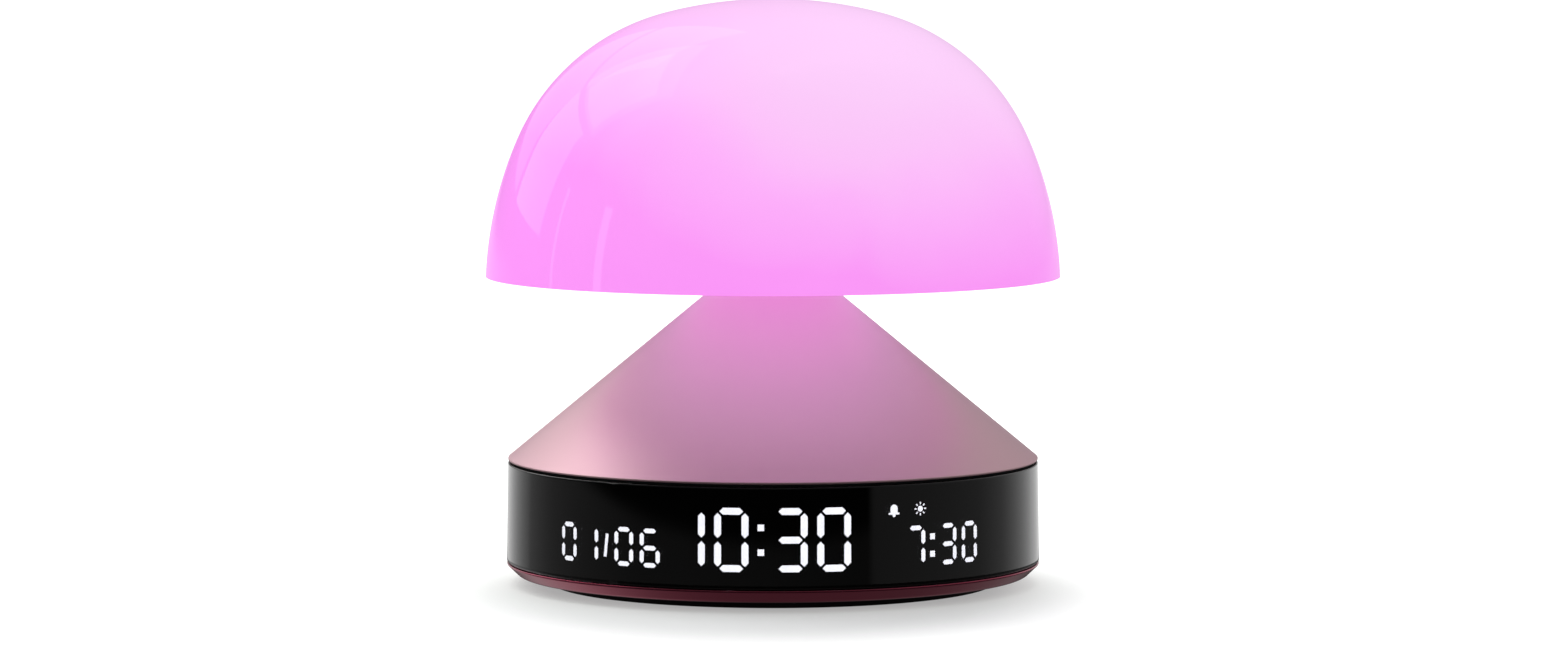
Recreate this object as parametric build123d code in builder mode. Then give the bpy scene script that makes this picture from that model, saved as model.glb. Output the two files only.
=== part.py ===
from build123d import *
import os
from math import atan2, cos, degrees, hypot, radians, sin, sqrt, tan

# Sunrise alarm clock: a bedside lamp and clock in one. A glowing dome, which is
# pressed down as a whole to work the lamp, rides on a short stem at the top of an
# aluminium cone. The cone stands on a drum whose smoked band covers a curved
# seven-segment display, with the setting buttons and the power inlet at its back.
# Millimetres, +Z up, origin on the floor under the middle, display towards -Y.

# ---------------------------------------------------------------- driving sizes
FIT = 0.1  # gap all round a piece that is dropped into another
SLIDE_FIT = 0.06  # gap all round a piece that slides in another
BAR_FIT = 0.04  # gap all round a light bar in its window
PILOT_FIT = 0.05  # gap all round a screw's shank in the hole that it bites
SCREW_CLEARANCE = 0.35  # gap all round a shank that passes through a hole

FOOT_SETBACK = 0.5  # from the trim ring's inner edge
FOOT_WIDTH = 12.5
FOOT_HEIGHT = 2.05
FOOT_ROUND = 0.5
FOOT_TONGUE_WIDTH = 3.6
FOOT_TONGUE_HEIGHT = 1.0
FOOT_TONGUE_INSET = 2.6  # from the ring's inner edge to the tongue's middle

TRIM_HEIGHT = 2.95
TRIM_LEDGE = 5.5  # carries the base plate's flange
TRIM_SETBACK = 0.15  # from the drum's side
TRIM_LAND = 0.4  # upright edge above the bevel
TRIM_BEVEL = 2.85  # how far the bevel's foot lies inside the drum's side
TRIM_ROUND = 2.0  # of the bevel's foot
SPIGOT_WALL = 2.0
SPIGOT_HEIGHT = 2.0

BAND_RADIUS = 61.25  # at the bottom of the drum
BAND_HEIGHT = 22.95
BAND_WALL = 2.0
BAND_DRAFT = 0.4  # how much slimmer the drum is at its top
BAND_ROUND = 0.9
BAND_TOP_ROUND = 0.3
MASK_WALL = 0.8
CELL_DEPTH = 2.4  # of the block of light cells behind the mask's face
CELL_HALF_ANGLE = 57.0
FLEX_THICKNESS = 0.4
FLEX_MARGIN = 1.5  # how far the display's board shows above and below the digits

SEAL_THICKNESS = 0.6
SEAL_WIDTH = 3.5
SEAL_SETBACK = 1.1  # how far the seal stands back from the drum, as a shadow line

PLATE_FLANGE = 2.0
CHASSIS_WALL = 2.5
DECK_THICKNESS = 2.0
DECK_OPENING_RADIUS = 20.0

CONE_HALF_ANGLE = 50.41  # from the axis
CONE_WALL = 1.6
CONE_LAND = 0.4  # upright edge at the foot of the cone
CONE_SETBACK = 0.05
CONE_TOP_WALL = 2.0
CONE_TOP_ROUND = 0.4
NECK_RADIUS = 9.0
RIM_DROP = 1.2  # the shade's rim hangs this far below the neck

SHADE_RADIUS = 65.85
SHADE_HEIGHT = 63.4
SHADE_WALL = 2.0
CROWN_RADIUS = 98.0
SHOULDER_RADIUS = 50.8
SIDE_RADIUS = 88.0
RIM_DRAFT = 2.5  # lean of the side at the rim, in degrees
RIM_WALL = 1.6  # beside the step that the underside rests against
RIM_ROUND = 0.4
UNDERSIDE_RECESS = 2.8
UNDERSIDE_THICKNESS = 1.8

HEAD_TRAVEL = 0.8
STEM_RADIUS = 6.0
STEM_BORE_RADIUS = 4.0
STEM_FLAT = 5.4  # distance of the flat, which stops the head from turning
STEM_FLANGE_RADIUS = 7.7
STEM_FLANGE_HEIGHT = 0.6
STEM_END = 2.2  # above the clip
STEM_THREAD_RADIUS = 5.0
NUT_ACROSS_FLATS = 14.0
NUT_HEIGHT = 3.0
NUT_THREAD_SHOWS = 0.6
CLIP_GROOVE_DEPTH = 0.8
CLIP_WIDTH = 2.6
CLIP_THICKNESS = 0.8
CLIP_MOUTH = 7.0

HUB_GAP = 0.2  # what is left between hub and neck when the head is pressed right down
HUB_WALL = 1.4
HUB_FLANGE_RADIUS = 21.0
HUB_FLANGE_THICKNESS = 2.0
HUB_BEARING_LENGTH = 6.6
SPRING_LENGTH = 8.4
SPRING_POCKET_RADIUS = 8.0
SPRING_RADIUS = 7.1
SPRING_WIRE = 0.8
SPRING_TURNS = 3.25
UNDERSIDE_BOSS_HEIGHT = 3.0
UNDERSIDE_BOSS_RADIUS = 2.6
HUB_SCREW_RADIUS = 14.0  # pitch radius
POST_RADIUS = 2.4
POST_PITCH_RADIUS = 11.6

SWITCH_SIDE = 6.0
SWITCH_HEIGHT = 3.5
SWITCH_BOARD_WALL = 0.7  # the stem's wall round the switch board
SWITCH_BOARD_SINK = 0.2
PLUNGER_RADIUS = 1.7
PLUNGER_REACH = 0.9
PLUNGER_LENGTH = 1.9
PLUNGER_WELL = 0.4  # free depth below a plunger that is pressed right in

CARRIER_THICKNESS = 2.0
CARRIER_LIP_WIDTH = 2.4
CARRIER_LIP_HEIGHT = 2.2
PRESSING_BOSS_RADIUS = 2.5
PRESSING_BOSS_LENGTH = 1.9
LED_BOARD_RADIUS = 21.5
LED_SIDE = 5.0
LED_HEIGHT = 1.4
LED_RINGS = ((17.5, 12), (5.6, 4))  # pitch radius and count
LEAD_WIDTH = 2.4
LEAD_THICKNESS = 0.35
LEAD_BOW = 1.6
LEAD_OFFSET = 4.7
LEAD_SLOT_MARGIN = 0.8

BOARD_THICKNESS = 1.6
SMALL_BOARD_THICKNESS = 1.2
SCREW_RADIUS = 1.25
SCREW_HEAD_RADIUS = 2.4
SCREW_HEAD_HEIGHT = 1.5
SCREW_SLOT_WIDTH = 0.7
SCREW_SLOT_DEPTH = 0.7
SCREW_BITE = 4.0  # how deep a screw goes into what it holds
BOSS_RADIUS = 3.2
BASE_SCREW_INSET = 4.85  # from the foot's outer edge
BASE_SCREW_ANGLE = 30.0  # from the X axis
BASE_SCREW_RECESS = 1.6
CONE_SCREW_INSET = 8.3  # from the chassis's wall
CONE_SCREW_ANGLE = 59.5  # from the X axis

MAIN_BOARD_MARGIN = 4.0  # from the rear board
STANDOFF_LENGTH = 7.3
STANDOFF_RADIUS = 2.6
STANDOFF_INSET = 4.5  # from the main board's edge
HEADER_SIZE = (6.0, 4.0, 4.0)
HEADER_X = 10.0
# Parts on the main board: place of the middle, as shares of the board's radius, then
# length, width and height.
BOARD_PARTS = (
    (0.0, -0.32, 10.0, 10.0, 1.1),
    (-0.42, -0.21, 6.0, 5.0, 1.0),
    (0.42, -0.37, 7.0, 7.0, 3.2),
    (-0.34, 0.37, 9.0, 4.5, 5.5),
    (0.16, 0.53, 5.0, 4.0, 1.5),
    (-0.79, 0.16, 4.5, 9.0, 5.5),
)
CABLE_RADIUS = 1.3
CABLE_BEND = 9.0

BATTERY_SIZE = (50.0, 34.0, 8.0)
BATTERY_Y = -23.0
BATTERY_ROUND = 2.5
STRAP_WIDTH = 10.0
STRAP_THICKNESS = 1.2
STRAP_FOOT = 6.0
BATTERY_RIB_HEIGHT = 3.0
BATTERY_RIB_WIDTH = 1.5

SPEAKER_Y = 20.0
SPEAKER_RADIUS = 15.5
SPEAKER_FLANGE_WIDTH = 2.0
SPEAKER_FLANGE_THICKNESS = 1.2
SPEAKER_EAR_X = 18.5
SPEAKER_GASKET = 0.5
BASKET_HEIGHT = 3.6
MAGNET_RADIUS = 9.0
MAGNET_HEIGHT = 3.2
MEMBRANE_THICKNESS = 0.5
GRILLE_HOLE_RADIUS = 1.1
GRILLE_PITCH = 4.2
GRILLE_RINGS = 2

BUTTON_NAMES = ("time_button", "alarm_button", "light_button", "minus_button", "plus_button")
BUTTON_RADIUS = 3.2
BUTTON_PITCH = 10.0
BUTTON_HEIGHT = 14.4  # of the row's middle above the foot of the band
BUTTON_PROUD = 0.6
BUTTON_ROUND = 0.3
BUTTON_TRAVEL = 0.5
BUTTON_FREE_PLAY = 0.05
BUTTON_FLANGE_RADIUS = 4.0
BUTTON_FLANGE_THICKNESS = 1.2
BUTTON_FLANGE_GAP = 0.2
BUTTON_STEM_RADIUS = 2.0
ACTUATOR_HEIGHT = 0.8
REAR_BOARD_MARGIN = 0.8  # from its rear corners to the chassis's wall
REAR_BOARD_WIDTH = 60.0
REAR_BOARD_HEIGHT = 15.4
REAR_BOARD_DROP = 2.8  # how far its middle lies below the row of buttons
REAR_BOSS_WIDTH = 5.0
REAR_BOSS_HEIGHT = 8.0
REAR_WINDOW_WIDTH = 50.0

INLET_WIDTH = 8.94
INLET_HEIGHT = 3.16
INLET_LENGTH = 7.35
INLET_WALL = 0.3
INLET_SETBACK = 0.8
INLET_GAP = 0.3  # round the inlet's mouth in the band
TONGUE_WIDTH = 6.69
TONGUE_THICKNESS = 0.7
TONGUE_LENGTH = 4.5
INLET_BOARD_SIZE = (14.0, 10.0)
INLET_LEDGE_HEIGHT = 1.7
INLET_SCREW_SPACING = 9.0
INLET_SCREW_BITE = 3.0
FLOOR_PILOT_DEPTH = 2.9
INLET_SCREW_INSET = 2.7

# The display. A digit is its width, height and bar thickness. A group of four digits
# is the angle of its middle, half its middle gap, its pitch and its two pairs.
TIME_DIGIT = (7.55, 14.2, 1.5)
DATE_DIGIT = (4.95, 8.65, 1.0)
ALARM_DIGIT = (4.9, 9.15, 1.0)
BAR_GAP = 0.42  # from a bar's tip to where the centre lines cross
TIME_FOOT = 4.05  # foot of the digits above the foot of the band
DATE_FOOT = 4.35
ALARM_FOOT = 4.25
TIME_GROUP = (-2.6, 6.3, 9.4, "10", "30")
DATE_GROUP = (-38.3, 4.65, 6.45, "01", "06")
ALARM_GROUP = (36.3, 4.3, 6.4, " 7", "30")
TIME_DOT = 1.4
TIME_DOT_SPACING = 5.5
ALARM_DOT = 1.3
ALARM_DOT_SPACING = 3.9
SLASH_HEIGHT = 5.15
SLASH_WIDTH = 0.75
SLASH_LEAN = 6.5  # degrees
ICON_HEIGHT = 17.15  # of the icons' middle above the foot of the band
BELL_ANGLE = 26.65
BELL_WIDTH = 2.6
BELL_SHOULDER = 0.33  # half width of the bell's dome, as a share of the bell's width
BELL_STEP = 0.15
SUN_ANGLE = 33.15
SUN_RADIUS = 0.64
SUN_RAYS = 8
SUN_RAY_LENGTH = 0.5
SUN_RAY_WIDTH = 0.26
SUN_RAY_PITCH_RADIUS = 1.25
LIT_BARS = {" ": "", "0": "abcdef", "1": "bc", "3": "abcdg", "6": "acdefg", "7": "abc"}
ALL_BARS = "abcdefg"

# ------------------------------------------------------------- levels and radii
plate_z = FOOT_HEIGHT
band_z = plate_z + TRIM_HEIGHT
floor_z = band_z + PLATE_FLANGE  # the drum's inside floor
spigot_top_z = band_z + SPIGOT_HEIGHT
band_top_z = band_z + BAND_HEIGHT
deck_z = band_top_z - DECK_THICKNESS
cone_z = band_top_z + SEAL_THICKNESS
slope_z = cone_z + CONE_LAND

band_inner = BAND_RADIUS - BAND_WALL
band_top_radius = BAND_RADIUS - BAND_DRAFT
mask_outer = band_inner - FIT
mask_inner = mask_outer - MASK_WALL
cell_inner = mask_outer - CELL_DEPTH
flex_inner = cell_inner - FLEX_THICKNESS
chassis_outer = flex_inner - FIT
chassis_inner = chassis_outer - CHASSIS_WALL
deck_radius = mask_inner - FIT
spigot_inner = mask_outer - SPIGOT_WALL
trim_inner = spigot_inner - TRIM_LEDGE
plate_radius = spigot_inner - FIT
foot_radius = trim_inner - FOOT_SETBACK
foot_inner = foot_radius - FOOT_WIDTH
tongue_radius = foot_inner + FOOT_TONGUE_INSET
base_screw_radius = foot_radius - BASE_SCREW_INSET
base_screw_spacing = [
    2 * base_screw_radius * cos(radians(BASE_SCREW_ANGLE)),
    2 * base_screw_radius * sin(radians(BASE_SCREW_ANGLE)),
]
cone_screw_radius = chassis_inner - CONE_SCREW_INSET
cone_screw_spacing = [
    2 * cone_screw_radius * cos(radians(CONE_SCREW_ANGLE)),
    2 * cone_screw_radius * sin(radians(CONE_SCREW_ANGLE)),
]

cone_radius = band_top_radius - CONE_SETBACK
cone_slope = tan(radians(CONE_HALF_ANGLE))
cone_level_wall = CONE_WALL / cos(radians(CONE_HALF_ANGLE))  # wall measured level
neck_z = slope_z + (cone_radius - NECK_RADIUS) / cone_slope
neck_underside_z = neck_z - CONE_TOP_WALL
rim_z = neck_z - RIM_DROP
shade_top_z = rim_z + SHADE_HEIGHT

underside_z = rim_z + UNDERSIDE_RECESS
underside_top_z = underside_z + UNDERSIDE_THICKNESS
flange_z = underside_top_z + UNDERSIDE_BOSS_HEIGHT
flange_top_z = flange_z + HUB_FLANGE_THICKNESS
spring_z = neck_z + STEM_FLANGE_HEIGHT
pocket_top_z = spring_z + SPRING_LENGTH
hub_z = spring_z + HEAD_TRAVEL + HUB_GAP
hub_radius = SPRING_POCKET_RADIUS + HUB_WALL
clip_z = pocket_top_z + HUB_BEARING_LENGTH
stem_top_z = clip_z + CLIP_THICKNESS + STEM_END
groove_radius = STEM_RADIUS - CLIP_GROOVE_DEPTH

switch_board_top_z = stem_top_z - SWITCH_BOARD_SINK
switch_board_z = switch_board_top_z - SMALL_BOARD_THICKNESS
switch_seat_radius = STEM_RADIUS - SWITCH_BOARD_WALL
switch_board_radius = switch_seat_radius - FIT
switch_top_z = switch_board_top_z + SWITCH_HEIGHT
plunger_top_z = switch_top_z + PLUNGER_REACH
carrier_z = plunger_top_z + PRESSING_BOSS_LENGTH
led_board_z = carrier_z + CARRIER_THICKNESS
led_board_top_z = led_board_z + BOARD_THICKNESS
lip_inner = LED_BOARD_RADIUS + FIT
carrier_radius = lip_inner + CARRIER_LIP_WIDTH

button_z = band_z + BUTTON_HEIGHT
button_hole_radius = BUTTON_RADIUS + SLIDE_FIT
rear_face_y = sqrt(chassis_inner**2 - (REAR_BOARD_WIDTH / 2) ** 2) - REAR_BOARD_MARGIN
rear_board_y = rear_face_y - BOARD_THICKNESS
actuator_tip_y = rear_face_y + SWITCH_HEIGHT + ACTUATOR_HEIGHT
button_end_y = actuator_tip_y + BUTTON_TRAVEL + BUTTON_FREE_PLAY
rear_board_middle_z = button_z - REAR_BOARD_DROP
rear_boss_x = (REAR_WINDOW_WIDTH + REAR_BOSS_WIDTH) / 2 + FIT
button_xs = [BUTTON_PITCH * (i - (len(BUTTON_NAMES) - 1) / 2) for i in range(len(BUTTON_NAMES))]

main_board_top_z = deck_z - STANDOFF_LENGTH
main_board_z = main_board_top_z - BOARD_THICKNESS
main_board_radius = rear_board_y - MAIN_BOARD_MARGIN
standoff_spacing = [sqrt(2) * (main_board_radius - STANDOFF_INSET)] * 2

inlet_board_z = floor_z + INLET_LEDGE_HEIGHT
inlet_board_top_z = inlet_board_z + SMALL_BOARD_THICKNESS
inlet_z = inlet_board_top_z + INLET_HEIGHT / 2
inlet_mouth_y = BAND_RADIUS - INLET_SETBACK
inlet_board_far_y = sqrt(mask_inner**2 - (INLET_BOARD_SIZE[0] / 2) ** 2) - 3 * FIT
inlet_board_y = inlet_board_far_y - INLET_BOARD_SIZE[1] / 2
inlet_screw_y = inlet_board_far_y - INLET_BOARD_SIZE[1] + INLET_SCREW_INSET

battery_top_z = floor_z + BATTERY_SIZE[2]
strap_screw_reach = BATTERY_SIZE[1] / 2 + STRAP_THICKNESS + STRAP_FOOT / 2
speaker_z = floor_z + SPEAKER_GASKET


# -------------------------------------------------------------------- helpers
def front_plane(angle, radius=0.0, height=0.0):
    """The upright plane that faces outwards, angle degrees round from the front."""
    turn = radians(angle)
    return Plane(
        origin=(radius * sin(turn), -radius * cos(turn), height),
        x_dir=(cos(turn), sin(turn), 0),
        z_dir=(sin(turn), -cos(turn), 0),
    )


def rear_plane(x, y, z):
    """The upright plane that faces backwards, towards +Y."""
    return Plane(origin=(x, y, z), x_dir=(-1, 0, 0), z_dir=(0, 1, 0))


def lathe(*points, half_angle=180.0):
    """Turns an outline of (radius, height) points about the axis, centred on the front."""
    start = radians(-90 - half_angle)
    section = Plane(
        origin=(0, 0, 0), x_dir=(cos(start), sin(start), 0), z_dir=(sin(start), -cos(start), 0)
    )
    with BuildPart() as turned:
        with BuildSketch(section):
            with BuildLine():
                Polyline(*points, close=True)
            make_face()
        revolve(axis=Axis.Z, revolution_arc=2 * half_angle)
    return turned.part


def ring(inner, outer, low, high, half_angle=180.0):
    """A plain ring or, with a half angle, the stretch of it at the front."""
    return lathe((inner, low), (outer, low), (outer, high), (inner, high), half_angle=half_angle)


def screw(length):
    """A slotted pan-head screw with the underside of its head at the origin, point down."""
    with BuildPart() as made:
        with BuildSketch():
            Circle(SCREW_HEAD_RADIUS)
        extrude(amount=SCREW_HEAD_HEIGHT)
        with BuildSketch():
            Circle(SCREW_RADIUS)
        extrude(amount=-length)
        with BuildSketch(Plane.XY.offset(SCREW_HEAD_HEIGHT)):
            Rectangle(3 * SCREW_HEAD_RADIUS, SCREW_SLOT_WIDTH)
        extrude(amount=-SCREW_SLOT_DEPTH, mode=Mode.SUBTRACT)
    return made.part


def tact_switch(well_depth):
    """A square switch standing on the origin, with a round well for its plunger."""
    with BuildPart() as made:
        with BuildSketch():
            RectangleRounded(SWITCH_SIDE, SWITCH_SIDE, SWITCH_SIDE / 12)
        extrude(amount=SWITCH_HEIGHT)
        with BuildSketch(Plane.XY.offset(SWITCH_HEIGHT)):
            Circle(PLUNGER_RADIUS + SLIDE_FIT)
        extrude(amount=-well_depth, mode=Mode.SUBTRACT)
    return made.part


def rear_openings():
    """What is cut from the drum's back: the buttons' holes and the inlet's mouth."""
    with BuildPart() as made:
        with BuildSketch(rear_plane(0, 0, button_z)):
            with Locations(*[(x, 0) for x in button_xs]):
                Circle(button_hole_radius)
            with Locations((0, inlet_z - button_z)):
                SlotOverall(INLET_WIDTH + 2 * INLET_GAP, INLET_HEIGHT + 2 * INLET_GAP)
        extrude(amount=BAND_RADIUS + FIT)
    return made.part


def save(piece, name):
    """Labels a finished piece and writes its file."""
    piece.part.label = name
    export_step(piece.part, f"parts/{name}.step")


os.makedirs("parts", exist_ok=True)

# ------------------------------------------------------------------ foot and drum
with BuildPart() as foot_ring:
    add(ring(foot_inner, foot_radius, 0, FOOT_HEIGHT))
    fillet(foot_ring.edges().group_by(Axis.Z)[0], FOOT_ROUND)
    tongue = FOOT_TONGUE_WIDTH / 2 - FIT
    tongue_top_z = plate_z + FOOT_TONGUE_HEIGHT - FIT
    add(ring(tongue_radius - tongue, tongue_radius + tongue, plate_z, tongue_top_z))
save(foot_ring, "foot_ring")

# The base plate drops into the trim ring. Its underside holds the foot ring in a groove
# and is hollowed in the middle, where the speaker's holes go through.
with BuildPart() as base_plate:
    add(
        lathe(
            (0, plate_z),
            (trim_inner - FIT, plate_z),
            (trim_inner - FIT, band_z),
            (plate_radius, band_z),
            (plate_radius, floor_z),
            (0, floor_z),
        )
    )
    groove = FOOT_TONGUE_WIDTH / 2
    add(
        ring(tongue_radius - groove, tongue_radius + groove, plate_z, plate_z + FOOT_TONGUE_HEIGHT),
        mode=Mode.SUBTRACT,
    )
    with BuildSketch(Plane.XY.offset(plate_z)):
        with Locations((0, SPEAKER_Y)):
            Circle(SPEAKER_RADIUS)
    extrude(amount=TRIM_HEIGHT, mode=Mode.SUBTRACT)
    with BuildSketch(Plane.XY.offset(plate_z)):
        with GridLocations(*base_screw_spacing, 2, 2):
            Circle(SCREW_HEAD_RADIUS + SCREW_CLEARANCE)
    extrude(amount=BASE_SCREW_RECESS, mode=Mode.SUBTRACT)
    with BuildSketch(Plane.XY.offset(plate_z)):
        with GridLocations(*base_screw_spacing, 2, 2):
            Circle(SCREW_RADIUS + SCREW_CLEARANCE)
    extrude(amount=TRIM_HEIGHT + PLATE_FLANGE, mode=Mode.SUBTRACT)
    with BuildSketch(Plane.XY.offset(plate_z)):
        with Locations((0, SPEAKER_Y)):
            Circle(GRILLE_HOLE_RADIUS)
            for ring_number in range(1, GRILLE_RINGS + 1):
                with PolarLocations(GRILLE_PITCH * ring_number, 6 * ring_number):
                    Circle(GRILLE_HOLE_RADIUS)
    extrude(amount=TRIM_HEIGHT + PLATE_FLANGE, mode=Mode.SUBTRACT)
    # Ledges for the inlet's board and the speaker's ears, and ribs round the battery.
    with BuildSketch(Plane.XY.offset(floor_z)):
        with Locations((0, inlet_screw_y)):
            with GridLocations(INLET_SCREW_SPACING, 1, 2, 1):
                Circle(SCREW_HEAD_RADIUS)
    extrude(amount=INLET_LEDGE_HEIGHT)
    with BuildSketch(Plane.XY.offset(floor_z)):
        with Locations((0, SPEAKER_Y)):
            with GridLocations(2 * SPEAKER_EAR_X, 1, 2, 1):
                Circle(SCREW_HEAD_RADIUS)
    extrude(amount=SPEAKER_GASKET)
    with BuildSketch(Plane.XY.offset(floor_z)):
        with Locations((0, BATTERY_Y)):
            with GridLocations(BATTERY_SIZE[0] + BATTERY_RIB_WIDTH + 2 * FIT, 1, 2, 1):
                Rectangle(BATTERY_RIB_WIDTH, BATTERY_SIZE[1] / 2)
    extrude(amount=BATTERY_RIB_HEIGHT)
    # Holes that the screws on this plate bite into.
    with BuildSketch(Plane.XY.offset(floor_z)):
        with Locations((0, BATTERY_Y)):
            with GridLocations(1, 2 * strap_screw_reach, 1, 2):
                Circle(SCREW_RADIUS + PILOT_FIT)
        with Locations((0, SPEAKER_Y)):
            with GridLocations(2 * SPEAKER_EAR_X, 1, 2, 1):
                Circle(SCREW_RADIUS + PILOT_FIT)
        with Locations((0, inlet_screw_y)):
            with GridLocations(INLET_SCREW_SPACING, 1, 2, 1):
                Circle(SCREW_RADIUS + PILOT_FIT)
    extrude(amount=FLOOR_PILOT_DEPTH, both=True, mode=Mode.SUBTRACT)
save(base_plate, "base_plate")

with BuildPart() as base_screws:
    head_z = plate_z + BASE_SCREW_RECESS
    with Locations(Location((0, 0, head_z), (180, 0, 0))):
        with GridLocations(*base_screw_spacing, 2, 2):
            add(screw(floor_z - head_z + SCREW_BITE))
save(base_screws, "base_screws")

# The bevelled trim ring carries the band on its shoulder, round an upright spigot.
with BuildPart() as trim_ring:
    add(
        lathe(
            (trim_inner, plate_z),
            (BAND_RADIUS - TRIM_BEVEL, plate_z),
            (BAND_RADIUS - TRIM_SETBACK, band_z - TRIM_LAND),
            (BAND_RADIUS - TRIM_SETBACK, band_z),
            (mask_outer, band_z),
            (mask_outer, spigot_top_z),
            (spigot_inner, spigot_top_z),
            (spigot_inner, band_z),
            (trim_inner, band_z),
        )
    )
    low_edges = trim_ring.edges().filter_by(GeomType.CIRCLE).group_by(Axis.Z)[0]
    fillet(low_edges.sort_by(SortBy.RADIUS)[-1], TRIM_ROUND)
save(trim_ring, "trim_ring")

with BuildPart() as display_band:
    add(
        lathe(
            (band_inner, band_z),
            (BAND_RADIUS, band_z),
            (band_top_radius, band_top_z),
            (band_inner, band_top_z),
        )
    )
    outer_edges = display_band.edges().filter_by(GeomType.CIRCLE).sort_by(SortBy.RADIUS)[-2:]
    fillet(outer_edges.sort_by(Axis.Z)[0], BAND_ROUND)
    top_edges = display_band.edges().filter_by(GeomType.CIRCLE).group_by(Axis.Z)[-1]
    fillet(top_edges.sort_by(SortBy.RADIUS)[-1], BAND_TOP_ROUND)
    add(rear_openings(), mode=Mode.SUBTRACT)
save(display_band, "display_band")


# ---------------------------------------------------------------------- display
def bars(names, digit, grow=0.0):
    """Adds the named bars of a digit that stands on the open sketch's origin."""
    width, height, thickness = digit
    reach_x = (width - thickness) / 2
    reach_y = (height - thickness) / 2
    side = thickness / 2 + grow
    middle = height / 2
    places = {
        "a": (0, middle + reach_y, 0),
        "b": (reach_x, middle + reach_y / 2, 90),
        "c": (reach_x, middle - reach_y / 2, 90),
        "d": (0, middle - reach_y, 0),
        "e": (-reach_x, middle - reach_y / 2, 90),
        "f": (-reach_x, middle + reach_y / 2, 90),
        "g": (0, middle, 0),
    }
    for name in names:
        x, y, turn = places[name]
        tip = (reach_y / 2 if turn else reach_x) - BAR_GAP + grow
        flank = tip - side
        with Locations(Location((x, y, 0), (0, 0, turn))):
            Polygon((-tip, 0), (-flank, -side), (flank, -side), (tip, 0), (flank, side), (-flank, side))


def cells(group):
    """The angle and the figure of each of a group's four digits."""
    middle, half_gap, pitch, left, right = group
    reaches = (-half_gap - pitch, -half_gap, half_gap, half_gap + pitch)
    return [(middle + reach, figure) for reach, figure in zip(reaches, left + right)]


def light_cells(group, digit, foot, names_of, grow=0.0):
    """Blocks, longer than the light cells are deep, for the bars that names_of picks."""
    with BuildPart() as made:
        for angle, figure in cells(group):
            names = names_of(figure)
            if names:
                with BuildSketch(front_plane(angle, cell_inner, band_z + foot)):
                    bars(names, digit, grow)
                extrude(amount=2 * CELL_DEPTH)
    return made.part


def colon(group, digit, foot, dot, spacing, grow=0.0):
    """The two square dots in the middle of a group."""
    with BuildPart() as made:
        with BuildSketch(front_plane(group[0], cell_inner, band_z + foot + digit[1] / 2)):
            with GridLocations(1, spacing, 1, 2):
                Rectangle(dot + 2 * grow, dot + 2 * grow)
        extrude(amount=2 * CELL_DEPTH)
    return made.part


def slash(grow=0.0):
    """The leaning stroke between day and month."""
    height = band_z + DATE_FOOT + DATE_DIGIT[1] / 2
    with BuildPart() as made:
        with BuildSketch(front_plane(DATE_GROUP[0], cell_inner, height)):
            with Locations(Location((0, 0, 0), (0, 0, -SLASH_LEAN))):
                Rectangle(SLASH_WIDTH + 2 * grow, SLASH_HEIGHT + 2 * grow)
        extrude(amount=2 * CELL_DEPTH)
    return made.part


def icons(grow=0.0):
    """A bell for the alarm and a sun for the sunrise light."""
    dome = BELL_WIDTH * BELL_SHOULDER
    step = BELL_WIDTH * BELL_STEP
    with BuildPart() as made:
        with BuildSketch(front_plane(BELL_ANGLE, cell_inner, band_z + ICON_HEIGHT)):
            with Locations((0, step)):
                Circle(dome + grow)
            with Locations((0, -step / 2)):
                Rectangle(2 * (dome + grow), 3 * step)
            with Locations((0, -2 * step)):
                Rectangle(BELL_WIDTH + 2 * grow, step + 2 * grow)
            with Locations((0, -3 * step)):
                Circle(step * 0.9 + grow)
        extrude(amount=2 * CELL_DEPTH)
        with BuildSketch(front_plane(SUN_ANGLE, cell_inner, band_z + ICON_HEIGHT)):
            Circle(SUN_RADIUS + grow)
            with PolarLocations(SUN_RAY_PITCH_RADIUS, SUN_RAYS):
                Rectangle(SUN_RAY_LENGTH + 2 * grow, SUN_RAY_WIDTH + 2 * grow)
        extrude(amount=2 * CELL_DEPTH)
    return made.part


def time_colon(grow=0.0):
    return colon(TIME_GROUP, TIME_DIGIT, TIME_FOOT, TIME_DOT, TIME_DOT_SPACING, grow)


def alarm_colon(grow=0.0):
    return colon(ALARM_GROUP, ALARM_DIGIT, ALARM_FOOT, ALARM_DOT, ALARM_DOT_SPACING, grow)


def lit(figure):
    return LIT_BARS[figure]


def unlit(figure):
    return "".join(name for name in ALL_BARS if name not in LIT_BARS[figure])


def every(figure):
    return ALL_BARS


def digits(names_of, grow=0.0):
    """The picked bars of the time, the date and the alarm, in that order."""
    return [
        light_cells(TIME_GROUP, TIME_DIGIT, TIME_FOOT, names_of, grow),
        light_cells(DATE_GROUP, DATE_DIGIT, DATE_FOOT, names_of, grow),
        light_cells(ALARM_GROUP, ALARM_DIGIT, ALARM_FOOT, names_of, grow),
    ]


cell_block = ring(cell_inner, mask_outer, spigot_top_z, deck_z, CELL_HALF_ANGLE)

# The mask lines the band. At the front it is as deep as the light cells cut in it.
with BuildPart() as segment_mask:
    add(ring(mask_inner, mask_outer, spigot_top_z, band_top_z))
    add(cell_block)
    add(digits(every, BAR_FIT), mode=Mode.SUBTRACT)
    add([time_colon(BAR_FIT), alarm_colon(BAR_FIT)], mode=Mode.SUBTRACT)
    add([slash(BAR_FIT), icons(BAR_FIT)], mode=Mode.SUBTRACT)
    add(rear_openings(), mode=Mode.SUBTRACT)
save(segment_mask, "segment_mask")

# The light bars fill the cells and end flush with the mask's curved face.
time_blocks, date_blocks, alarm_blocks = digits(lit)

with BuildPart() as time_bars:
    add([time_blocks, time_colon()])
    add(cell_block, mode=Mode.INTERSECT)
save(time_bars, "time_bars")

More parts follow.
